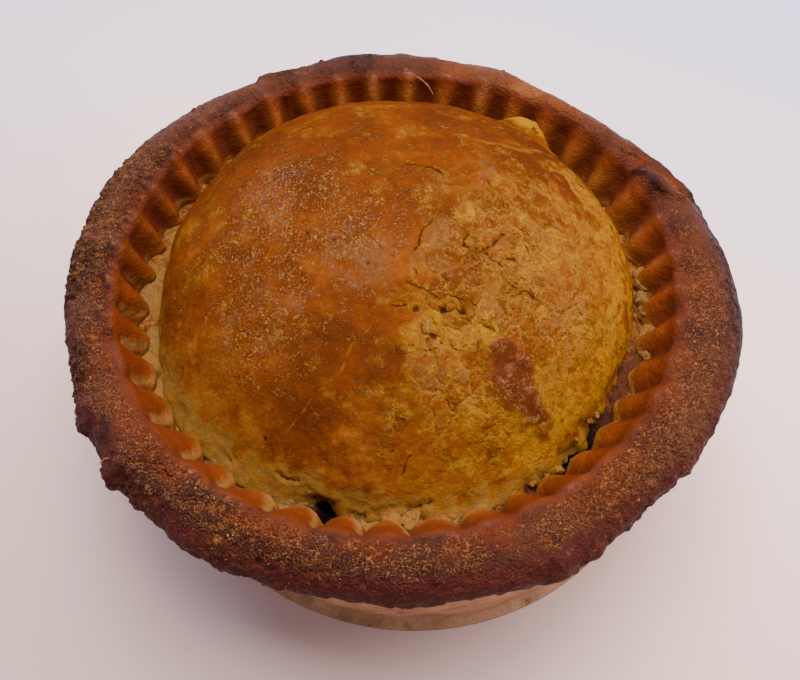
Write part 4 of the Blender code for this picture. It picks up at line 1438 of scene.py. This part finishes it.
def lid_material():
    """Egg-washed crust: golden to amber and russet, with dull blushed skin, yellow seams, pale crumb at
    the foot, and cracks, pits and creases painted dark as shade, over a fine crazed grain with painted
    glints of light.
    """
    c = bpy.context.scene.pie_colours
    t = Tree("lid_crust")
    broad, mottle, speck = t.noise(260, 4, 0.6), t.noise(800, 4, 0.6), t.noise(2600, 3, 0.6)
    craze = t.math("ABSOLUTE", t.sum(t.noise(1900, 1.5, 0.5), (mottle, 0.2)))
    glint_lines = t.spread(craze, 0.006, 0.034, 1.0, 0.0)
    plates = t.bent(0.0022, 500, (1.0, 0.7, 0.7))
    border = t.grains(430, "DISTANCE_TO_EDGE", plates)
    flaky = t.spread(t.sum(t.mask("veined"), (t.mask("red"), -1.0), (broad, 2.5)), 0.25, 0.95)
    vein = t.times(t.spread(t.sum(border, (mottle, 0.35)), 0.02, 0.14, 1.0, 0.0), flaky)
    bake = t.sum(t.mask("bake"), (broad, 0.9), (mottle, 0.9), (speck, 0.6))
    base = t.ramp(bake, ((0.0, c.straw), (0.26, c.golden), (0.56, c.amber), (0.95, c.russet)))
    yolk = t.blend(t.mask("yolk"), c.straw, c.yolk)
    golden = t.spread(t.sum(t.mask("golden"), (mottle, 1.1), (speck, 0.5)), 0.15, 0.85, 0.0, 0.9)
    patchy = t.spread(t.sum((speck, 0.6), mottle, (broad, 0.7)), -0.20, 0.13)
    base = t.blend(golden, base, t.blend(patchy, c.amber, yolk))
    blush = t.spread(t.sum(t.mask("blush"), (mottle, 1.8), (speck, 1.4)), 0.35, 1.1, 0.0, 0.75)
    base = t.blend(blush, base, c.blush)
    red = t.spread(t.sum(t.mask("red"), (mottle, 0.9), (speck, 0.4)), 0.1, 0.9, 0.0, 0.92)
    base = t.blend(red, base, t.blend(t.spread(t.sum((speck, 0.6), mottle), 0.02, 0.26), c.ember, c.rose))
    base = t.lay(base, yolk, "seam", ((mottle, 0.9), (speck, 0.6)), 0.25, 1.0, 0.85)
    plate = t.sum(t.tones(430, plates), (mottle, 1.5), (speck, 0.8))
    stops = ((0.10, c.russet), (0.34, c.amber), (0.52, c.golden), (0.70, c.blush), (1.0, c.yolk))
    plate = t.ramp(plate, stops)
    base = t.blend(t.times(flaky, 0.62), base, plate)
    base = t.blend(t.times(vein, 0.65), base, yolk)
    # Painted shade: thin russet lines in the creases at the flakes' borders.
    crease_shade = t.spread(t.sum(border, (speck, 0.25)), 0.0, 0.025, 1.0, 0.0)
    crease_shade = t.times(crease_shade, t.spread(t.noise(700, 2), 0.02, 0.08))
    base = t.blend(t.times(crease_shade, t.times(flaky, 0.8)), base, c.russet)
    # Painted highlights: bright glint lines laid over the crazed grain where it is grainy, with darker russet
    # beside them.
    fleck = t.sum(t.mask("grainy_glints"), (t.mask("veined"), 0.3), (t.mask("red"), -0.3))
    fleck = t.sum(fleck, (broad, 2.2), (mottle, 1.6), 0.06)
    painted_glint = t.times(t.times(fleck, glint_lines, clamp=True), t.spread(t.sum(speck, mottle), -0.18, 0.10, 0.0, 0.9))
    dark = t.times(t.times(fleck, 0.55, clamp=True), t.spread(craze, 0.05, 0.13))
    base = t.blend(dark, base, c.russet)
    base = t.blend(painted_glint, base, c.glint_paint)
    dough = t.blend(t.spread(t.sum(mottle, speck), -0.15, 0.15, 0.35, 1.0), c.straw, c.dough)
    base = t.lay(base, dough, "crumb", ((mottle, 0.6),), 0.15, 0.85, 0.9)
    # Painted shade: the cracks and pits are laid in umber inside. The yellow lip on one side of each crack is
    # partly pale dough, partly a painted highlight on that side.
    wander = t.sum(t.mask("side"), (speck, 4.0), (mottle, 4.0))
    gaping = t.spread(t.sum(t.mask("crack"), (mottle, 1.6), (speck, 1.2)), 0.35, 0.85)
    gash = t.times(t.spread(t.math("ABSOLUTE", wander), 0.1, 0.85, 1.0, 0.0), gaping)
    lip = t.times(t.spread(wander, 1.0, 1.6), t.spread(wander, 1.6, 4.0, 0.35, 0.0))
    base = t.blend(t.times(lip, gaping), base, c.yolk)
    hole = t.spread(t.sum(t.mask("pit"), (speck, 1.4), (mottle, 0.9)), 0.72, 0.95)
    base = t.blend(t.times(t.math("MAXIMUM", gash, hole), 0.78), base, c.umber)
    rough = t.spread(t.sum(t.noise(1100, 3), (t.mask("blush"), 0.2)), -0.2, 0.3, 0.34, 0.6)
    t.set(Base_Color=base, Roughness=rough, Specular_IOR_Level=0.0)
    glossy = t.sum(t.mask("grainy_glints"), (t.mask("red"), 1.6))
    t.set(Coat_Weight=t.times(glossy, t.spread(speck, -0.05, 0.12, 0.0, 0.14)))
    t.set(Coat_Roughness=0.30, Coat_IOR=1.45)
    grain = t.times(t.sum((glint_lines, 0.35), (speck, 1.0)), t.sum((fleck, 0.6), 0.4))
    t.bump(t.sum((t.noise(1100, 4, 0.55), 0.6), grain, (gash, -0.9), (vein, -0.9)), 0.00022)
    return t.material


# ---------------------------------------------------------------- stage

# Lights: name, place, aim and side in metres, watts and tint.
LIGHTS = (
    ("key", (0.03, 0.09, 0.50), (0, 0, 0.03), 0.38, 6.0, (1.0, 0.94, 0.90)),
    ("window", (0.45, 0.10, 0.32), (0, 0, 0.0), 0.34, 2.0, (1.0, 0.95, 0.95)),
    ("sky", (-0.42, 0.62, 0.30), (-0.12, 0.22, 0.0), 0.30, 2.8, (0.32, 0.58, 1.0)),
)
ROOM_COLOUR = (0.90, 0.92, 1.08, 1.0)
ROOM_STRENGTH = 0.47
FLOOR_HALF = 1.5
# The floor's colours carry painted light: shade in front, a pool of light in the middle, cool sky light
# behind and to the far left.
FLOOR_FRONT_SHADED = (0.51, 0.35, 0.32)
FLOOR_MIDDLE_LIT = (1.0, 0.72, 0.64)
FLOOR_BACK_SKYLIT = (0.54, 0.62, 1.0)
FLOOR_FAR_LEFT_SKYLIT = (0.29, 0.46, 1.0)
# The camera: what it looks at and how far off in the pie's millimetres, degrees down, lens in millimetres.
CAMERA_AIM = (-0.25, -10.2, 32.85)
CAMERA_AWAY = 124.4
CAMERA_DOWN = 57.0
CAMERA_LENS = 42.75
CAMERA_NEAREST = 0.01


def area_light(name, place, aim, size, power, tint):
    """A square soft light at one place, turned to another."""
    data = bpy.data.lights.new(name, "AREA")
    data.size = size
    data.energy = power
    data.color = tint
    light = bpy.data.objects.new(name, data)
    light.location = place
    away = np.array(aim) - np.array(place)
    flat = math.hypot(away[0], away[1])
    light.rotation_euler = (math.atan2(flat, -away[2]), 0, math.atan2(away[1], away[0]) - math.pi / 2)
    bpy.context.scene.collection.objects.link(light)


def floor_material():
    """A pale matt worktop with painted light: darker and warmer in front, brightest in the middle towards the
    right, and bluish behind and to the far left, painted cool sky light.
    """
    t = Tree("pale_floor")
    split = t.nodes.new("ShaderNodeSeparateXYZ")
    t.links.new(t.coords, split.inputs[0])
    across, back = split.outputs[0], split.outputs[1]
    depth = t.spread(t.sum(back, (across, 0.6)), -0.09, 0.20)
    base = t.ramp(depth, ((0.0, FLOOR_FRONT_SHADED), (0.45, FLOOR_MIDDLE_LIT), (1.0, FLOOR_BACK_SKYLIT)))
    sky_lit_share = t.spread(t.sum(back, (across, -0.8)), 0.08, 0.40, 0.0, 1.0)
    base = t.blend(sky_lit_share, base, FLOOR_FAR_LEFT_SKYLIT)
    t.set(Base_Color=base, Roughness=0.8, Specular_IOR_Level=0.2)
    t.bump(t.noise(180, 3), 0.0003, 0.3)
    return t.material


class PIE_OT_stage(bpy.types.Operator):
    """Sets the floor, the soft lights and the camera"""

    bl_idname = "pie.stage"
    bl_label = "Stage"

    def execute(self, context):
        corners = np.array([[-1, -1, 0], [1, -1, 0], [1, 1, 0], [-1, 1, 0]]) * FLOOR_HALF
        data = bpy.data.meshes.new("floor")
        data.from_pydata((corners + [0, 0, LOW.z]).tolist(), [], [(0, 1, 2, 3)])
        floor = bpy.data.objects.new("floor", data)
        context.scene.collection.objects.link(floor)
        material = floor_material()
        data.materials.append(material)
        for light in LIGHTS:
            area_light(*light)
        world = bpy.data.worlds.new("room")
        world.use_nodes = True
        world.node_tree.nodes["Background"].inputs["Color"].default_value = ROOM_COLOUR
        world.node_tree.nodes["Background"].inputs["Strength"].default_value = ROOM_STRENGTH
        context.scene.world = world
        self.camera(context)
        return {"FINISHED"}

    def camera(self, context):
        """The camera looks down on the pie's near side."""
        aim = np.array(CAMERA_AIM) * MM
        down = math.radians(CAMERA_DOWN)
        away = CAMERA_AWAY * MM
        data = bpy.data.cameras.new("camera")
        data.lens = CAMERA_LENS
        data.clip_start = CAMERA_NEAREST
        camera = bpy.data.objects.new("camera", data)
        camera.location = aim + away * np.array([0, -math.cos(down), math.sin(down)])
        camera.rotation_euler = (math.pi / 2 - down, 0, 0)
        context.scene.collection.objects.link(camera)
        context.scene.camera = camera


class PIE_PT_panel(bpy.types.Panel):
    """Lists the pie's settings and steps"""

    bl_label = "Pork Pie"
    bl_idname = "PIE_PT_panel"
    bl_space_type = "VIEW_3D"
    bl_region_type = "UI"
    bl_category = "Pork Pie"

    def draw(self, context):
        for group in (context.scene.pie_sizes, context.scene.pie_colours):
            for name in group.__annotations__:
                self.layout.prop(group, name)
        for operator in OPERATORS:
            self.layout.operator(operator.bl_idname)


OPERATORS = (PIE_OT_case, PIE_OT_rim, PIE_OT_grains, PIE_OT_channel, PIE_OT_dough, PIE_OT_lid, PIE_OT_stage)
CLASSES = (PieSizes, PieColours, *OPERATORS, PIE_PT_panel)


def register():
    """Registers the classes and gives the scene its settings."""
    for cls in CLASSES:
        bpy.utils.register_class(cls)
    bpy.types.Scene.pie_sizes = bpy.props.PointerProperty(type=PieSizes)
    bpy.types.Scene.pie_colours = bpy.props.PointerProperty(type=PieColours)


def unregister():
    """Takes the settings and classes away again."""
    del bpy.types.Scene.pie_colours
    del bpy.types.Scene.pie_sizes
    for cls in reversed(CLASSES):
        bpy.utils.unregister_class(cls)


def main():
    """Builds every piece in order."""
    register()
    bpy.ops.pie.case()
    bpy.ops.pie.rim()
    bpy.ops.pie.grains()
    bpy.ops.pie.channel()
    bpy.ops.pie.dough()
    bpy.ops.pie.lid()
    bpy.ops.pie.stage()


if __name__ == "__main__":
    main()
